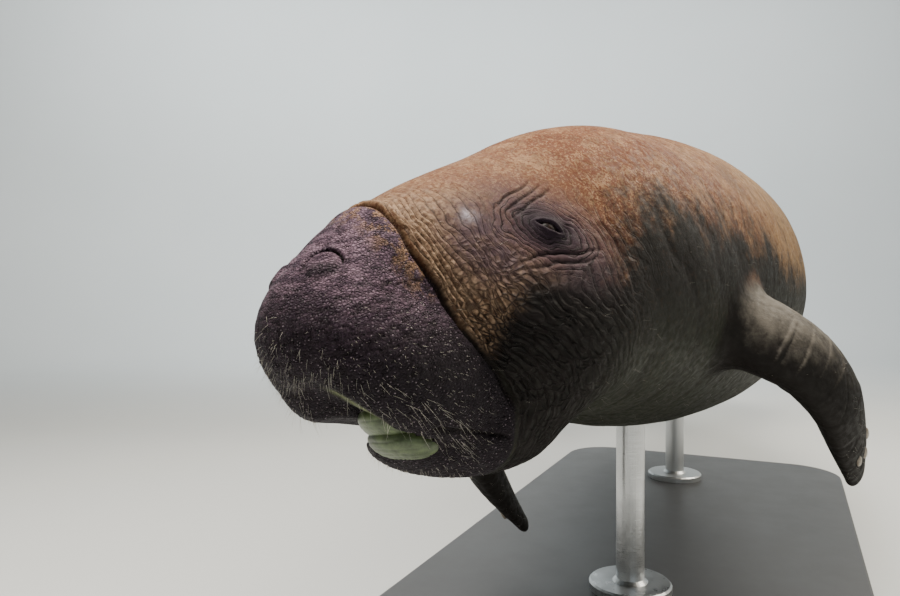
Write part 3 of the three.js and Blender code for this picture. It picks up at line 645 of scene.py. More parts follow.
def folds(p, m):
    """Height of the skin's relief over the smooth form, and how deep in a groove each point
    lies, from 0 to 1."""
    x, y, z = p.T
    q, behind = m["q"], m["behind"]
    muzzle = 1 - ease(behind, -3, 2)
    neck = ease(y, 260, 350) * (1 - ease(y, 520, 600))
    body = ease(y, 480, 620)
    height = np.zeros(len(p))
    groove = np.zeros(len(p))

    def cut(amount, depth, dark=1.0):
        nonlocal height, groove
        height = height - amount * depth
        groove = np.maximum(groove, np.clip(amount, 0, 1) * dark)

    # The deep crease behind the muzzle, with the face's skin rolled over its edge
    reach = ease(z, -118, -95)
    cut(bell(behind, CREASE_WIDTH) * reach, CREASE_DEEP)
    for (place, width, rise), share in ((FACE_ROLL, reach), (MUZZLE_ROLL, ease(z, -90, 20))):
        height += rise * bell(behind - place, width) * share

    # Columns of pebbles down the face
    cut(cracks(m["columns"], 0.26) * m["face"] * (0.5 + 0.5 * m["low"]), 0.9, 0.6)
    cut(cracks(m["columns"], 0.3) * m["face"] * np.exp(-behind / 18) * reach, 2.9, 1.0)
    height += 0.5 * noise(q / 9, 9) * m["face"]

    # Rings round the eye, the lids' thick rims, and folds in front of and below the eye
    worn = 0.65 + 0.35 * noise(q / 10, 19)
    cut(cracks(m["rings"], 0.24) * m["ringed"] * worn, 1.5, 0.8)
    gap = lid_gap(m["along"], m["across"])
    height += 1.3 * bell(gap - 2.6, 1.7) * (m["rho"] < LID_REACH)
    slant = m["across"] * 0.8 - m["along"] * 0.6
    level = m["along"] * 0.8 + m["across"] * 0.6
    for offset, depth in LOWER_FOLDS:
        edge = slant - offset + 2.5 * noise(q / 18, 10)
        near = bell(level - 3, 38, 4) * (m["rho"] < 70)
        cut(bell(edge, 1.5) * near * ease(behind, 2, 8), depth, 0.9)
    for offset in FRONT_FOLDS:
        edge = m["along"] - 0.5 * m["across"] - offset + 3 * noise(q / 20, 11)
        near = bell(m["across"] - 22, 24, 4) * (m["rho"] < 90)
        cut(bell(edge, 1.5) * near * ease(behind, 4, 12), FRONT_FOLD_DEEP, 0.8)

    # Muzzle: a level fold above the lip pads, fine wrinkles, and raised nostrils
    lump = noise(q / 16, 12) + 0.5 * noise(q / 6, 20)
    over = z - FOLD_HEIGHT
    across = ease(y, FOLD_START, FOLD_START + 22) * (np.abs(x) > 25)
    cut(bell(over + 5 * lump, 1.6) * across * muzzle * (0.6 + 0.4 * noise(q / 8, 21)), 1.6, 0.9)
    cut(bell(noise(q / 7 + 0.5 * noise(q / 9, 22)[:, None], 23), 0.1) * across * muzzle
        * bell(over, 16), 1.2, 0.8)
    fine = np.stack([q[:, 0] / 12, y / 12, (z + 0.1 * y) / 4.0], 1)
    cut(bell(noise(fine + 0.4 * noise(q / 9, 13)[:, None], 14), 0.17)
        * muzzle * ease(-z, -40, 0) * (1 - ease(-z, 40, 80)) * 0.8, 0.8, 0.7)
    near = pebbles(q / PIMPLE_PITCH, 43)
    height += PIMPLE_HEIGHT * (1 - ease(near, 0.1, 0.65)) * muzzle * ease(-z, -35, 20)
    height += NOSTRIL_SWELL * (1 - ease(m["button"], 0.55, 1.0)) * muzzle
    height += 0.8 * bell(m["button"] - 1.2, 0.14) * m["nostril_top"] * muzzle
    cut(bell(m["button"] - 1, 0.08) * m["nostril_top"] * muzzle, NOSTRIL_ARC_DEEP)

    # The closed part of the mouth, from the open part back to its corner
    lean = math.radians(MOUTH[2])
    over = (z - MOUTH[0][2]) * math.cos(lean) - (y - MOUTH[0][1]) * math.sin(lean)
    closed = ease(np.abs(x), 34, 42) * ease(y, 95, 110) * (1 - ease(y, 168, 186))
    cut(bell(over - 1.5 * noise(q / 20, 18), MOUTH_LINE_WIDTH) * closed, MOUTH_LINE_DEEP)

    # Throat and neck: soft rolls under the jaw and behind the jowl, with fine wrinkles
    swing = np.sin((y + 0.5 * z + 16 * noise(q / 40, 15)) / NECK_ROLL_PITCH)
    height += NECK_ROLL_HEIGHT * swing * neck * m["low"]
    cut(bell(swing + 1, 0.16) * neck * m["low"], 0.8, 0.4)
    fine = np.stack([q[:, 0] / 22, (y + 0.35 * z) / 9, z / 22], 1)
    cut(bell(noise(fine + 0.3 * noise(q / 15, 16)[:, None], 51), 0.15) * neck * 0.7, 0.7, 0.45)

    # Trunk: broad swells, and shallow wrinkles round it
    height += SWELL_HEIGHT * layered(q / SWELL_LENGTH, 61) * body
    fine = np.stack([q[:, 0] / 80, y / 24, z / 80], 1)
    cut(bell(noise(fine + 0.4 * noise(q / 60, 17)[:, None], 62), 0.12) * body * 0.7, 1.2, 0.5)
    return height, groove


def dress(points):
    """The surface's points with the relief on them, and what the skin's finish needs to know."""
    normal = unit(gradient(flesh, points))
    m = pattern(points)
    height, groove = folds(points, m)
    clear = ease(np.abs(single(MOUTH, points)), 0, 5) * ease(single(LOWER_PAD, points), 0, 5)
    clear *= ease(np.abs(single(CLEFT, points)), 0, 4) * 0.7 + 0.3
    gap = lid_gap(m["along"], m["across"])
    clear *= np.where(m["rho"] < LID_REACH, ease(gap, 0.3, 1.5), 1.0)
    marks = {name: m[name] for name in (
        "columns", "rows", "rings", "face", "pebbled", "ringed", "eye_ring", "bruise",
        "nostril_shade", "nostril_top", "button")}
    marks.update({
        "muzzle": 1 - ease(m["behind"], -1.5, 1.5),
        "tanned": ease(m["behind"], -34, -3) * ease(points[:, 2], -12, 14),
        "groove": groove,
        "scar": bell(np.linalg.norm(points - SCAR_SPOT, axis=1), SCAR_SIZE),
        "lit_lining": (bell(single(CLEFT, points), 2.5) * ease(points[:, 0], 6, 18)
                   * ease(-points[:, 2], 50, 62) * ease(points[:, 2], -106, -98)),
        "upward": normal[:, 2],
        "arm": arm_share(points),
    })
    return points + normal * (height * clear)[:, None], normal, marks


def mesh_object(name, points, faces):
    mesh = bpy.data.meshes.new(name)
    mesh.from_pydata(points.tolist(), [], faces)
    mesh.polygons.foreach_set("use_smooth", [True] * len(mesh.polygons))
    mesh.update()
    obj = bpy.data.objects.new(name, mesh)
    bpy.context.scene.collection.objects.link(obj)
    return obj


FLESH_NODES = ("snout", "lower_jaw", "head", "neck", "chest", "abdomen", "rump", "tail_stock",
               "tail_paddle", "flipper_left", "flipper_right")


def make_skin(points, dressed, marks, faces):
    skin = mesh_object("skin", pose(dressed), faces)
    for name, values in marks.items():
        skin.data.attributes.new(name, "FLOAT", "POINT").data.foreach_set(
            "value", values.astype(np.float32))
    rest = skin.data.attributes.new("straight", "FLOAT_VECTOR", "POINT")
    rest.data.foreach_set("vector", (points * MM).astype(np.float32).ravel())
    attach(skin, "root")
    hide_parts(*FLESH_NODES)
    skin.data.materials.append(skin_finish())


# Eyes, pads and nails

def ball(around, rows):
    """Directions over a sphere in rows, and the squares and end triangles between them."""
    high = np.pi * (np.arange(1, rows) / rows)[:, None]
    turn = 2 * np.pi * np.arange(around)[None, :] / around
    side = np.stack([np.sin(high) * np.cos(turn), np.sin(high) * np.sin(turn),
                     np.cos(high) + 0 * turn], 2).reshape(-1, 3)
    at = lambda i, j: 1 + i * around + j % around
    last = 1 + len(side)
    faces = [[at(i, j), at(i + 1, j), at(i + 1, j + 1), at(i, j + 1)]
             for i in range(rows - 2) for j in range(around)]
    faces += [[0, at(0, j), at(0, j + 1)] for j in range(around)]
    faces += [[last, at(rows - 2, j + 1), at(rows - 2, j)] for j in range(around)]
    return np.concatenate([[(0, 0, 1)], side, [(0, 0, -1)]]), faces


def place_part(name, points, faces, node, finish, side=1):
    """One posed part of the animal in place of its solid, mirrored for side -1."""
    points = points * np.array((side, 1, 1))
    if side < 0:
        faces = [face[::-1] for face in faces]
    part = mesh_object(name, pose(points), faces)
    part.data.materials.append(finish)
    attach(part, "root")
    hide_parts(node)
    return part


def make_eyes():
    finish = eye_finish()
    way, faces = ball(40, 28)
    points = EYE_SPOT - EYE_SUNK * EYE_OUT + EYE_RADIUS * way
    for name, side in (("left", 1), ("right", -1)):
        place_part(f"eyeball_{name}", points, faces, f"eye_{name}", finish, side)


def make_pads():
    """Horny pads of the mouth, with curved grooves along their rims."""
    finish = pad_finish()
    way, faces = ball(96, 64)
    for name, form in (("upper", UPPER_PAD), ("lower", LOWER_PAD)):
        centre, radii, tilt, _ = form
        lean = math.radians(tilt)
        reach = np.hypot(way[:, 0] * radii[0], (way[:, 1] - 0.6) * radii[1])
        groove = cracks((reach + noise(way * 3, 71)) / PAD_RIDGES[name], 0.16)
        groove = groove * ease(reach, 16, 26)
        flat = way * np.array(radii) * (1 - 0.02 * groove)[:, None]
        y = flat[:, 1] * math.cos(lean) - flat[:, 2] * math.sin(lean)
        z = flat[:, 1] * math.sin(lean) + flat[:, 2] * math.cos(lean)
        points = np.stack([flat[:, 0], y, z], 1) + np.array(centre)
        pad = place_part(f"pad_{name}", points, faces, f"mouth_pad_{name}", finish)
        pad.data.attributes.new("pad_ridge_shade", "FLOAT", "POINT").data.foreach_set(
            "value", (0.5 * groove).astype(np.float32))


def make_nails():
    finish = nail_finish()
    way, faces = ball(32, 20)
    for i, (t, across) in enumerate(NAILS):
        middle, along, chord, face, wide, thick = flipper_frame(t)
        lift = thick * math.sqrt(1 - across * across) - NAIL_RADII[2] * 0.3
        ridged = 1 + 0.02 * np.sin(way[:, 1] * 26)[:, None]
        local = way * NAIL_RADII * ridged
        middle = middle + chord * wide * across + face * lift
        points = middle + local @ np.stack([along, chord, face])
        for name, side in (("left", 1), ("right", -1)):
            place_part(f"claw_{name}_{i + 1}", points, faces, f"nail_{name}_{i + 1}",
                       finish, side)


# Bristles and hairs

HAIR_RINGS, HAIR_SIDES = 6, 5
HAIR_SEED = 5
PATCH = 0.003

# Hairs: how many, length, thickness, lean off the skin's normal, its scatter, and droop
HAIRS = {
    "stubble": (560, (1.0, 2.4), (0.22, 0.34), (0, 0.25, -0.3), 0.22, (0, 0.1, -0.2)),
    "front_whiskers": (130, (4, 10), (0.2, 0.32), (0, 0.1, -0.45), 0.22, (0, 0.05, -0.3)),
    "lip_whiskers": (95, (7, 14), (0.22, 0.34), (0, 0.45, -0.35), 0.22, (0, 0.2, -0.25)),
    "chin_whiskers": (90, (4, 9), (0.2, 0.3), (0, 0.35, -0.15), 0.25, (0, 0.2, -0.1)),
    "fine_hairs": (2200, (4, 9), (0.1, 0.16), (0, 0.9, -0.1), 0.3, (0, 0.3, -0.2)),
}


def make_hairs(name, roots, ways, lengths, thick, droop, finish):
    """Tapered, curved hairs as one mesh. Each has a small patch of the OFBake map at its root."""
    count = len(roots)
    t = np.linspace(0, 1, HAIR_RINGS)
    side = unit(np.cross(ways, (0.31, 0.17, 0.94)))
    other = np.cross(ways, side)
    sink = ways * np.minimum(lengths, 4.0)[:, None] * 0.6
    bend = np.array(droop)[None, None, :] * (t ** 2)[None, :, None] * lengths[:, None, None]
    line = (roots - sink)[:, None, :] + bend
    line = line + ways[:, None, :] * (t[None, :, None] * (lengths + 2.0)[:, None, None])
    radius = 0.5 * thick[:, None] * (1 - t[None, :] ** 1.5 * 0.85)
    turn = 2 * np.pi * np.arange(HAIR_SIDES) / HAIR_SIDES
    round_it = (np.cos(turn)[None, :, None] * side[:, None, :]
                + np.sin(turn)[None, :, None] * other[:, None, :])
    rings = line[:, :, None, :] + radius[:, :, None, None] * round_it[:, None, :, :]
    points = pose(rings.reshape(-1, 3))
    grid = np.arange(count * HAIR_RINGS * HAIR_SIDES).reshape(count, HAIR_RINGS, HAIR_SIDES)
    turned = np.roll(grid, -1, 2)
    quads = np.stack([grid[:, :-1], turned[:, :-1], turned[:, 1:], grid[:, 1:]], 3)
    faces = quads.reshape(-1, 4).tolist()
    faces += grid[:, -1].tolist() + grid[:, 0, ::-1].tolist()
    hair = mesh_object(name, points, faces)
    unwrap = np.stack([np.arctan2(roots[:, 0], roots[:, 2]) / (2 * np.pi) + 0.5,
                       roots[:, 1] / LENGTH], 1)
    spread = np.stack(np.meshgrid(np.linspace(0, 1, HAIR_RINGS), np.linspace(0, 1, HAIR_SIDES),
                                  indexing="ij"), 2)
    at = unwrap[:, None, None, :] + PATCH * spread[None]
    loops = np.empty(len(hair.data.loops), np.int32)
    hair.data.loops.foreach_get("vertex_index", loops)
    bake = hair.data.uv_layers.new(name="OFBake")
    bake.data.foreach_set("uv", at.reshape(-1, 2)[loops].astype(np.float32).ravel())
    hair.data.materials.append(finish)
    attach(hair, "root")


def choose(rng, weight, count):
    return rng.choice(len(weight), count, replace=False, p=weight / weight.sum())


def make_bristles(points, dressed, normal):
    rng = np.random.default_rng(HAIR_SEED)
    finish = bristle_finish()
    x, y, z = points.T
    away = crease_depth(points)
    clear = (single(UPPER_PAD, points) > 4) & (single(LOWER_PAD, points) > 4)
    clear &= (np.abs(single(MOUTH, points)) > 2) & (single(CLEFT, points) > 2)
    muzzle = (away < -4) & (y < 190) & clear

    low = ease(-z, 10, 70)
    front = muzzle * (y < 48) * ease(-z - 0.8 * np.abs(x), -22, 18) * ease(60 - y, 0, 40)
    edge = bell(mass(LIP_PAD, points), 5) * muzzle * low * (z < -0.75 * y - 8)
    trunk = ease(y, 150, 400) + 0.15 * (y > 120)
    weights = {
        "stubble": muzzle * (0.04 + ease(-z, -20, 45)) * ease(-away, 4, 30),
        "front_whiskers": front,
        "lip_whiskers": edge + 1e-9 * muzzle,
        "chin_whiskers": ((mass(CHIN, points) < 3) * clear * ease(170 - y, 0, 50)
                          * ease(z + 150, 0, 25)),
        "fine_hairs": trunk * np.where(y < FINE_HEAD, 1 / 16, np.where(y < FINE_NECK, 1 / 4, 1.0)),
    }
    for name, (count, length, thick, lie, spread, droop) in HAIRS.items():
        picked = choose(rng, weights[name], count)
        ways = normal[picked] * 0.85 + np.array(lie)
        ways = unit(ways + rng.normal(size=ways.shape) * spread)
        sizes = rng.uniform(*length, count)
        make_hairs(name, dressed[picked], ways, sizes, rng.uniform(*thick, count), droop, finish)


# Stand

def finish_stand():
    """Paint on the base, brushed steel on the front rod, and the frame's plain steel on the rear one."""
    paint, brushed = paint_finish(), steel_finish()
    plain = bpy.data.materials["stand_steel"]
    for node, slot, finish in (("stand_base", "stand_base", paint),
                               ("stand_rod_front", "stand_steel", brushed),
                               ("stand_rod_rear", "stand_steel", plain)):
        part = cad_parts[node]
        part.data.materials.clear()
        part.data.materials.append(finish)


# Finishes

class Finish:
    """A material's nodes, made and joined by short calls."""

    def __init__(self, name):
        self.material = bpy.data.materials.new(name)
        self.material.use_nodes = True
        self.nodes = self.material.node_tree.nodes
        self.links = self.material.node_tree.links
        self.shader = self.nodes["Principled BSDF"]

    def node(self, kind, inputs=None, **settings):
        made = self.nodes.new("ShaderNode" + kind)
        for key, value in settings.items():
            setattr(made, key, value)
        for key, value in (inputs or {}).items():
            if hasattr(value, "is_output"):
                self.links.new(value, made.inputs[key])
            else:
                made.inputs[key].default_value = value
        return made

    def mark(self, name):
        return self.node("Attribute", attribute_name=name).outputs["Fac"]

    def place(self, name):
        return self.node("Attribute", attribute_name=name).outputs["Vector"]

    def noise(self, at, scale, detail=4.0, rough=0.6):
        made = self.node("TexNoise", {"Vector": at, "Scale": scale, "Detail": detail,
                                      "Roughness": rough})
        return made.outputs["Fac"]

    def cells(self, at, scale, feature="F1"):
        made = self.node("TexVoronoi", {"Vector": at, "Scale": scale}, feature=feature)
        return made.outputs["Distance"]

    def math(self, operation, a, b=0.0):
        return self.node("Math", {0: a, 1: b}, operation=operation).outputs[0]

    def band(self, value, low, high, start=0.0, end=1.0):
        made = self.node("MapRange", {"Value": value, "From Min": low, "From Max": high,
                                      "To Min": start, "To Max": end},
                         interpolation_type="SMOOTHSTEP")
        return made.outputs["Result"]

    def mix(self, factor, a, b, blend="MIX"):
        made = self.node("Mix", data_type="RGBA", blend_type=blend)
        for socket, value in ((0, factor), (6, a), (7, b)):
            if hasattr(value, "is_output"):
                self.links.new(value, made.inputs[socket])
            elif socket == 0:
                made.inputs[socket].default_value = value
            else:
                made.inputs[socket].default_value = (*value, 1.0)
        return made.outputs[2]

    def bump(self, height, strength, distance, before=None):
        inputs = {"Height": height, "Strength": strength, "Distance": distance}
        if before is not None:
            inputs["Normal"] = before
        return self.node("Bump", inputs).outputs["Normal"]

    def set(self, **sockets):
        for name, value in sockets.items():
            socket = self.shader.inputs[name.replace("_", " ")]
            if hasattr(value, "is_output"):
                self.links.new(value, socket)
            else:
                socket.default_value = value
        return self.material


TAN = (0.150, 0.077, 0.036)
TAN_PALE = (0.31, 0.176, 0.092)
GOLDEN_LIGHT = (0.27, 0.168, 0.070)
RUST = (0.105, 0.026, 0.010)
CHEEK = (0.120, 0.066, 0.038)
CHEEK_PALE = (0.33, 0.215, 0.135)
SHADED_FLANK = (0.0110, 0.0094, 0.0084)
ARM_PALE = (0.112, 0.099, 0.082)
SHADED_BELLY = (0.024, 0.026, 0.019)
HIND = (0.058, 0.047, 0.037)
HIND_PALE = (0.150, 0.116, 0.080)
PURPLE = (0.050, 0.027, 0.046)
PURPLE_PALE = (0.200, 0.124, 0.168)
BRUISE = (0.070, 0.043, 0.056)
PIMPLE = (0.50, 0.40, 0.45)
LIP_DARK_AND_SHADE = (0.020, 0.015, 0.020)
RING_DARK = (0.016, 0.009, 0.015)
GROOVE_SHADE = (0.010, 0.007, 0.007)
SCAR = (0.50, 0.45, 0.50)
LIT_LINING = (0.16, 0.18, 0.09)
GRAINS = 330.0
EYE_DARK, EYE_BROWN = (0.006, 0.004, 0.004), (0.03, 0.016, 0.012)
PAD_DARK, PAD_PALE = (0.037, 0.052, 0.020), (0.098, 0.134, 0.052)
PAD_GROOVE_SHADE = (0.022, 0.030, 0.013)
NAIL_DARK, NAIL_PALE = (0.15, 0.12, 0.09), (0.30, 0.26, 0.21)
HAIR_DARK, HAIR_PALE = (0.30, 0.27, 0.22), (0.66, 0.62, 0.53)
PAINT_DARK, PAINT_PALE = (0.055, 0.055, 0.058), (0.062, 0.062, 0.065)
STEEL_DARK, STEEL_PALE = (0.50, 0.51, 0.52), (0.62, 0.63, 0.64)
FLOOR_DARK, FLOOR_PALE = (0.60, 0.62, 0.62), (0.68, 0.69, 0.69)


def skin_finish():
    f = Finish("manatee_hide")
    at = f.place("straight")
    x_y_z = f.node("SeparateXYZ", {0: at}).outputs
    upward, muzzle = f.mark("upward"), f.mark("muzzle")
    face = f.mark("face")
    times = lambda a, b: f.math("MULTIPLY", a, b)
    sway = lambda value, amount: times(f.math("SUBTRACT", value, 0.5), amount)
    patches = f.noise(at, 7.0, 5.0, 0.62)
    fine = f.noise(at, 60.0, 6.0, 0.7)
    speckle = f.noise(at, 230.0, 3.0, 0.65)

    # Back and flank: tan above with rusty specks, charcoal below. Which one a point takes follows how
    # far its skin faces up, so the tan top is partly painted light from above and the charcoal below
    # partly painted shade
    turn_down = f.math("ADD", upward, sway(patches, 1.1))
    turn_down = f.math("ADD", turn_down, sway(fine, 0.5))
    turn_down = f.math("ADD", turn_down, f.band(x_y_z[1], 0.38, 0.88, -0.03, 0.38))
    sun = times(f.band(turn_down, 0.03, 0.38), f.band(x_y_z[2], -0.10, -0.05))
    back = f.mix(f.band(fine, 0.32, 0.68), TAN, TAN_PALE)
    specks = f.noise(at, 380.0, 3.0, 0.75)
    cluster = f.band(f.noise(at, 22.0, 4.0, 0.7), 0.36, 0.60, 0.54, 0.43)
    rusty = f.band(f.math("SUBTRACT", specks, cluster), -0.03, 0.05)
    back = f.mix(times(rusty, 0.85), back, RUST)
    # Golden tone over the back near the flippers: painted light, for warm light falling on the far flank
    back = f.mix(times(f.band(x_y_z[1], 0.50, 0.95), f.band(fine, 0.35, 0.6, 0.3, 0.8)), back, GOLDEN_LIGHT)
    hind = times(f.band(x_y_z[1], 0.75, 1.65), 0.85)
    back = f.mix(hind, back, f.mix(f.band(patches, 0.35, 0.65), HIND, HIND_PALE))
    # Underside: charcoal, partly the skin's own dark and partly painted shade, darkest where it faces
    # sideways and a little greener where it faces down
    under = f.mix(f.band(upward, -0.7, 0.0), SHADED_BELLY, SHADED_FLANK)
    under = f.mix(hind, under, f.mix(f.band(patches, 0.35, 0.65), SHADED_FLANK, HIND))
    under = f.mix(times(f.band(speckle, 0.55, 0.7), 0.14), under, TAN)
    colour = f.mix(sun, under, back)
    # Flippers: charcoal where they face down and paler grey-brown where they face up, mottled by noise;
    # the paler top is painted light
    arm_turn = f.math("ADD", upward, sway(fine, 1.2))
    arm = f.mix(f.band(arm_turn, -0.15, 0.65), SHADED_FLANK, ARM_PALE)
    colour = f.mix(f.mark("arm"), colour, arm)

    # Face behind the crease: brown pebbles, with painted shade on the back and lower part of the cheek,
    # where its skin turns sideways or down
    cheek = f.mix(f.band(speckle, 0.35, 0.65), CHEEK, CHEEK_PALE)
    back_of_cheek = f.math("SUBTRACT", x_y_z[1], times(x_y_z[2], 0.6))
    back_of_cheek = f.math("ADD", back_of_cheek, sway(fine, 0.04))
    shade = times(f.band(back_of_cheek, 0.176, 0.206), f.band(upward, 0.42, 0.12))
    cheek = f.mix(f.math("MAXIMUM", shade, f.band(x_y_z[2], -0.030, -0.075)), cheek, SHADED_FLANK)
    colour = f.mix(times(face, f.band(x_y_z[1], 0.32, 0.23, 0.0, 0.9)), colour, cheek)

    # Muzzle: purple grey with pale pimples. Its top is paler, and it is painted darker where it faces
    # down and nearly black towards the lips as painted shade, darker at the front, and shaded under each
    # nostril
    streak = f.node("Mapping", {"Vector": at, "Scale": (55.0, 55.0, 170.0)}).outputs[0]
    dashes = f.noise(streak, 1.0, 4.0, 0.65)
    snout = f.mix(f.band(dashes, 0.40, 0.62), PURPLE, PURPLE_PALE)
    # Painted shade: darker purple where the muzzle faces down, and nearly black towards its bottom
    snout = f.mix(f.band(upward, 0.75, -0.10, 0.0, 0.85), snout, PURPLE)
    snout = f.mix(f.band(x_y_z[2], 0.020, -0.065), snout, LIP_DARK_AND_SHADE)
    snout = f.mix(f.band(x_y_z[1], 0.050, 0.010, 0.0, 0.6), snout, LIP_DARK_AND_SHADE)
    tan = times(f.mark("tanned"), f.band(f.noise(at, 75.0, 5.0, 0.7), 0.47, 0.58))
    snout = f.mix(times(tan, 0.8), snout, TAN_PALE)
    snout = f.mix(times(f.mark("nostril_shade"), 0.6), snout, LIP_DARK_AND_SHADE)
    # Painted shade in the groove round the top of each nostril
    arc = f.math("ABSOLUTE", f.math("SUBTRACT", f.mark("button"), 1.0))
    arc = times(f.band(arc, 0.03, 0.09, 1.0, 0.0), f.mark("nostril_top"))
    snout = f.mix(arc, snout, GROOVE_SHADE)
    warped = f.node("Mapping", {"Vector": at, "Scale": (1.0, 1.0, 1.3)}).outputs[0]
    bumps = f.cells(warped, GRAINS)
    grains = f.cells(warped, GRAINS, "DISTANCE_TO_EDGE")
    # Painted shade in the gaps between the muzzle's grains
    snout = f.mix(f.band(grains, 0.10, 0.0, 0.0, 0.55), snout, GROOVE_SHADE)
    tips = times(f.band(bumps, 0.30, 0.12), f.band(speckle, 0.44, 0.60))
    snout = f.mix(times(tips, f.band(x_y_z[2], 0.03, -0.02, 0.2, 0.5)), snout, PIMPLE)
    colour = f.mix(muzzle, colour, snout)

    # Dark skin round the eye, an old scar in front of it, and the lining of the mouth, pale olive on the
    # near wall of the cleft only, as painted light
    colour = f.mix(times(f.mark("bruise"), f.band(fine, 0.3, 0.6, 0.55, 0.92)), colour, BRUISE)
    ring = times(f.mark("eye_ring"), f.band(fine, 0.2, 0.5, 0.85, 1.0))
    colour = f.mix(ring, colour, RING_DARK)
    colour = f.mix(times(f.mark("scar"), f.band(fine, 0.35, 0.6)), colour, SCAR)
    colour = f.mix(f.mark("lit_lining"), colour, LIT_LINING)

    # Cracks between the pebbles and round the eye, and the grooves of the folds, painted dark as shade
    columns = f.mark("columns")
    rough_edge = sway(speckle, 0.22)
    crack = lambda phase, width: f.band(
        f.math("PINGPONG", f.math("ADD", phase, rough_edge), 0.5), 0.0, width, 1.0, 0.0)
    cell = f.node("CombineXYZ", {0: times(columns, 1.15), 1: f.mark("rows")}).outputs[0]
    beads = f.cells(cell, 1.0, "DISTANCE_TO_EDGE")
    domes = f.band(f.cells(cell, 1.0), 0.62, 0.0)
    down = times(crack(columns, 0.15), times(face, f.band(f.mark("pebbled"), 0.0, 1.0, 0.9, 0.3)))
    between = times(f.band(beads, 0.03, 0.15, 1.0, 0.0), f.mark("pebbled"))
    around = times(crack(f.mark("rings"), 0.2), f.mark("ringed"))
    cracked = f.math("MAXIMUM", f.math("MAXIMUM", down, between), around)
    # Painted shade in the cracks and grooves
    dark = f.math("MAXIMUM", times(cracked, 0.8), times(f.mark("groove"), 0.85))
    colour = f.mix(dark, colour, GROOVE_SHADE)

    # Cracks, pimples and pores as relief
    normal = f.bump(times(cracked, -1.0), 0.7, 0.0013)
    normal = f.bump(times(domes, f.mark("pebbled")), 1.0, 0.0022, normal)
    normal = f.bump(times(f.band(grains, 0.0, 0.22), muzzle), 0.9, 0.0012, normal)
    normal = f.bump(times(f.band(bumps, 0.45, 0.1), muzzle), 0.8, 0.0012, normal)
    normal = f.bump(f.noise(at, 420.0, 3.0, 0.75), 0.55, 0.0009, normal)
    normal = f.bump(f.noise(at, 45.0, 3.0, 0.65), 0.3, 0.002, normal)
    rough = f.band(f.noise(at, 130.0, 3.0), 0.3, 0.7, 0.50, 0.78)
    return f.set(Base_Color=colour, Roughness=rough, Normal=normal, Specular_IOR_Level=0.12)


def eye_finish():
    f = Finish("dark_eye")
    at = f.node("TexCoord").outputs["Object"]
    brown = f.mix(f.band(f.noise(at, 300.0), 0.4, 0.7), EYE_DARK, EYE_BROWN)
    return f.set(Base_Color=brown, Roughness=0.38, Specular_IOR_Level=0.12)


def pad_finish():
    f = Finish("mouth_pad")
    at = f.node("TexCoord").outputs["Object"]
    blotch = f.noise(at, 90.0, 5.0, 0.65)
    colour = f.mix(f.band(blotch, 0.3, 0.7), PAD_DARK, PAD_PALE)
    # Painted shade in the grooves round the pad
    colour = f.mix(f.mark("pad_ridge_shade"), colour, PAD_GROOVE_SHADE)
    normal = f.bump(f.noise(at, 500.0, 3.0), 0.3, 0.0006)
    return f.set(Base_Color=colour, Roughness=0.35, Normal=normal)


def nail_finish():
    f = Finish("nail_horn")
    at = f.node("TexCoord").outputs["Object"]
    colour = f.mix(f.band(f.noise(at, 200.0), 0.3, 0.7), NAIL_DARK, NAIL_PALE)
    normal = f.bump(f.noise(at, 900.0, 2.0), 0.3, 0.0004)
    return f.set(Base_Color=colour, Roughness=0.4, Normal=normal)


def bristle_finish():
    f = Finish("bristle")
    at = f.node("TexCoord").outputs["Object"]
    colour = f.mix(f.noise(at, 160.0), HAIR_DARK, HAIR_PALE)
    return f.set(Base_Color=colour, Roughness=0.45)


def paint_finish():
    f = Finish("stand_paint")
    at = f.node("TexCoord").outputs["Object"]
    colour = f.mix(f.band(f.noise(at, 6.0, 6.0), 0.3, 0.7), PAINT_DARK, PAINT_PALE)
    normal = f.bump(f.noise(at, 900.0, 2.0), 0.12, 0.0004)
    rough = f.band(f.noise(at, 14.0, 5.0), 0.3, 0.7, 0.42, 0.46)
    return f.set(Base_Color=colour, Roughness=rough, Normal=normal)


def steel_finish():
    f = Finish("stand_steel")
    at = f.node("TexCoord").outputs["Object"]
    brushed = f.node("Mapping", {"Vector": at, "Scale": (40.0, 40.0, 2600.0)}).outputs[0]
    scratches = f.noise(brushed, 1.0, 3.0)
    normal = f.bump(scratches, 0.12, 0.0003)
    rough = f.band(scratches, 0.3, 0.7, 0.26, 0.42)
    colour = f.mix(f.band(f.noise(at, 9.0), 0.3, 0.7), STEEL_DARK, STEEL_PALE)
    return f.set(Base_Color=colour, Roughness=rough, Metallic=1.0, Normal=normal)


# Studio

CLIP_START = 0.02
FLOOR_REACH, WALL_HEIGHT, WALL_CURVE = 6.0, 5.0, 1.6
FLOOR_SIDES, CURVE_STEPS = 96, 14
SKY, SKY_POWER = (0.82, 0.92, 0.94, 1.0), 0.12

# Lights: place, target, size, power and colour
LIGHTS = {
    "key": ((-0.35, -1.1, 2.7), (-0.05, -0.8, 0.5), (1.1, 1.1), 135, (1.0, 0.94, 0.84)),
    "back": ((1.5, 1.0, 2.7), (0.1, 0.0, 0.7), (2.0, 2.0), 115, (1.0, 0.92, 0.78)),
    "fill": ((1.8, -3.0, 1.3), (0.0, -0.9, 0.5), (2.0, 1.6), 5, (0.80, 0.92, 1.0)),
    "backdrop": ((-1.6, 2.6, 3.4), (-3.0, 6.2, 1.4), (5.0, 2.0), 230, (0.92, 0.98, 1.0)),
}


def make_camera():
    data = bpy.data.cameras.new("camera")
    data.sensor_width = SENSOR
    data.lens = FOCAL_PX / PHOTO_WIDTH * SENSOR
    data.clip_start = CLIP_START
    camera = bpy.data.objects.new("camera", data)
    camera.location = CAMERA_PLACE
    camera.rotation_euler = (math.radians(90 + CAMERA_NOD), 0, math.radians(CAMERA_TURN))
    bpy.context.scene.collection.objects.link(camera)
    bpy.context.scene.camera = camera


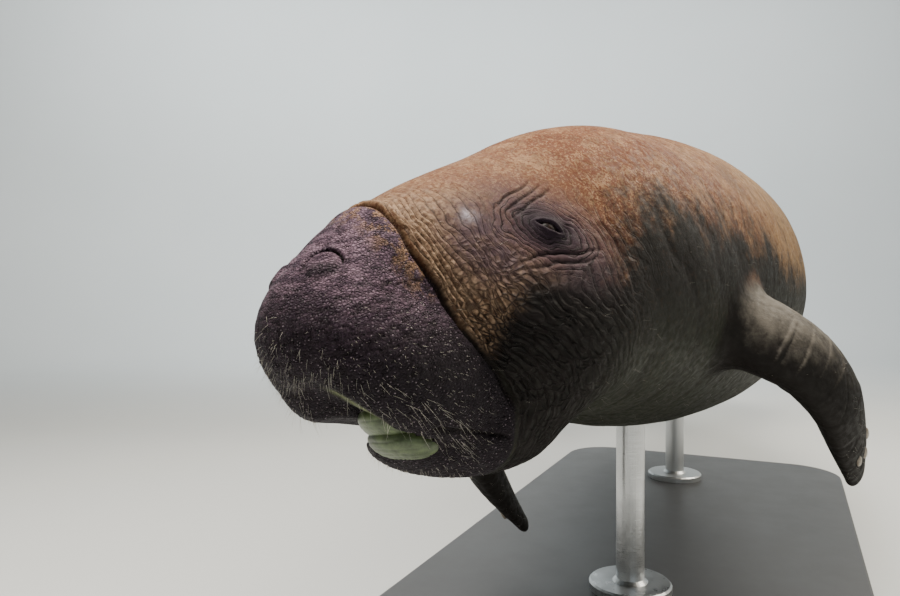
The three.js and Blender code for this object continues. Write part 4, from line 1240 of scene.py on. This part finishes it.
def area_light(name, place, target, size, power, colour):
    data = bpy.data.lights.new(name, "AREA")
    data.shape = "RECTANGLE"
    data.size, data.size_y = size
    data.energy = power
    data.color = colour
    light = bpy.data.objects.new(name, data)
    light.location = place
    light.rotation_euler = (Vector(target) - Vector(place)).to_track_quat("-Z", "Y").to_euler()
    bpy.context.scene.collection.objects.link(light)


def make_studio():
    """A pale bowl of a floor that curves up into its wall, and soft lights."""
    flat, curve, sides = FLOOR_REACH - WALL_CURVE, WALL_CURVE, FLOOR_SIDES
    line = [(0.0, 0.0), (1.5, 0.0), (3.0, 0.0), (flat, 0.0)]
    line += [(flat + curve * math.sin(a), curve - curve * math.cos(a))
             for a in np.linspace(0.12, math.pi / 2, CURVE_STEPS)]
    line.append((FLOOR_REACH, WALL_HEIGHT))
    points = [(0.0, 0.0, 0.0)] + [
        (r * math.cos(2 * math.pi * j / sides), r * math.sin(2 * math.pi * j / sides), z)
        for r, z in line[1:] for j in range(sides)]
    at = lambda i, j: 1 + i * sides + j % sides
    faces = [[0, at(0, j), at(0, j + 1)] for j in range(sides)]
    faces += [[at(i, j), at(i + 1, j), at(i + 1, j + 1), at(i, j + 1)]
              for i in range(len(line) - 2) for j in range(sides)]
    floor = mesh_object("studio_floor", np.array(points), faces)
    f = Finish("pale_floor")
    at = f.node("TexCoord").outputs["Object"]
    colour = f.mix(f.noise(at, 0.7, 3.0), FLOOR_DARK, FLOOR_PALE)
    floor.data.materials.append(f.set(Base_Color=colour, Roughness=0.9))
    world = bpy.data.worlds.new("studio")
    world.use_nodes = True
    background = world.node_tree.nodes["Background"]
    background.inputs[0].default_value = SKY
    background.inputs[1].default_value = SKY_POWER
    bpy.context.scene.world = world
    for name, (place, target, size, power, colour) in LIGHTS.items():
        area_light(name, place, target, size, power, colour)


make_camera()
make_studio()
surface_points, squares, many_sided = make_surface()
surface_dressed, surface_normal, surface_marks = dress(surface_points)
make_skin(surface_points, surface_dressed, surface_marks, squares.tolist() + many_sided)
make_eyes()
make_pads()
make_nails()
make_bristles(surface_points, surface_dressed, surface_normal)
finish_stand()
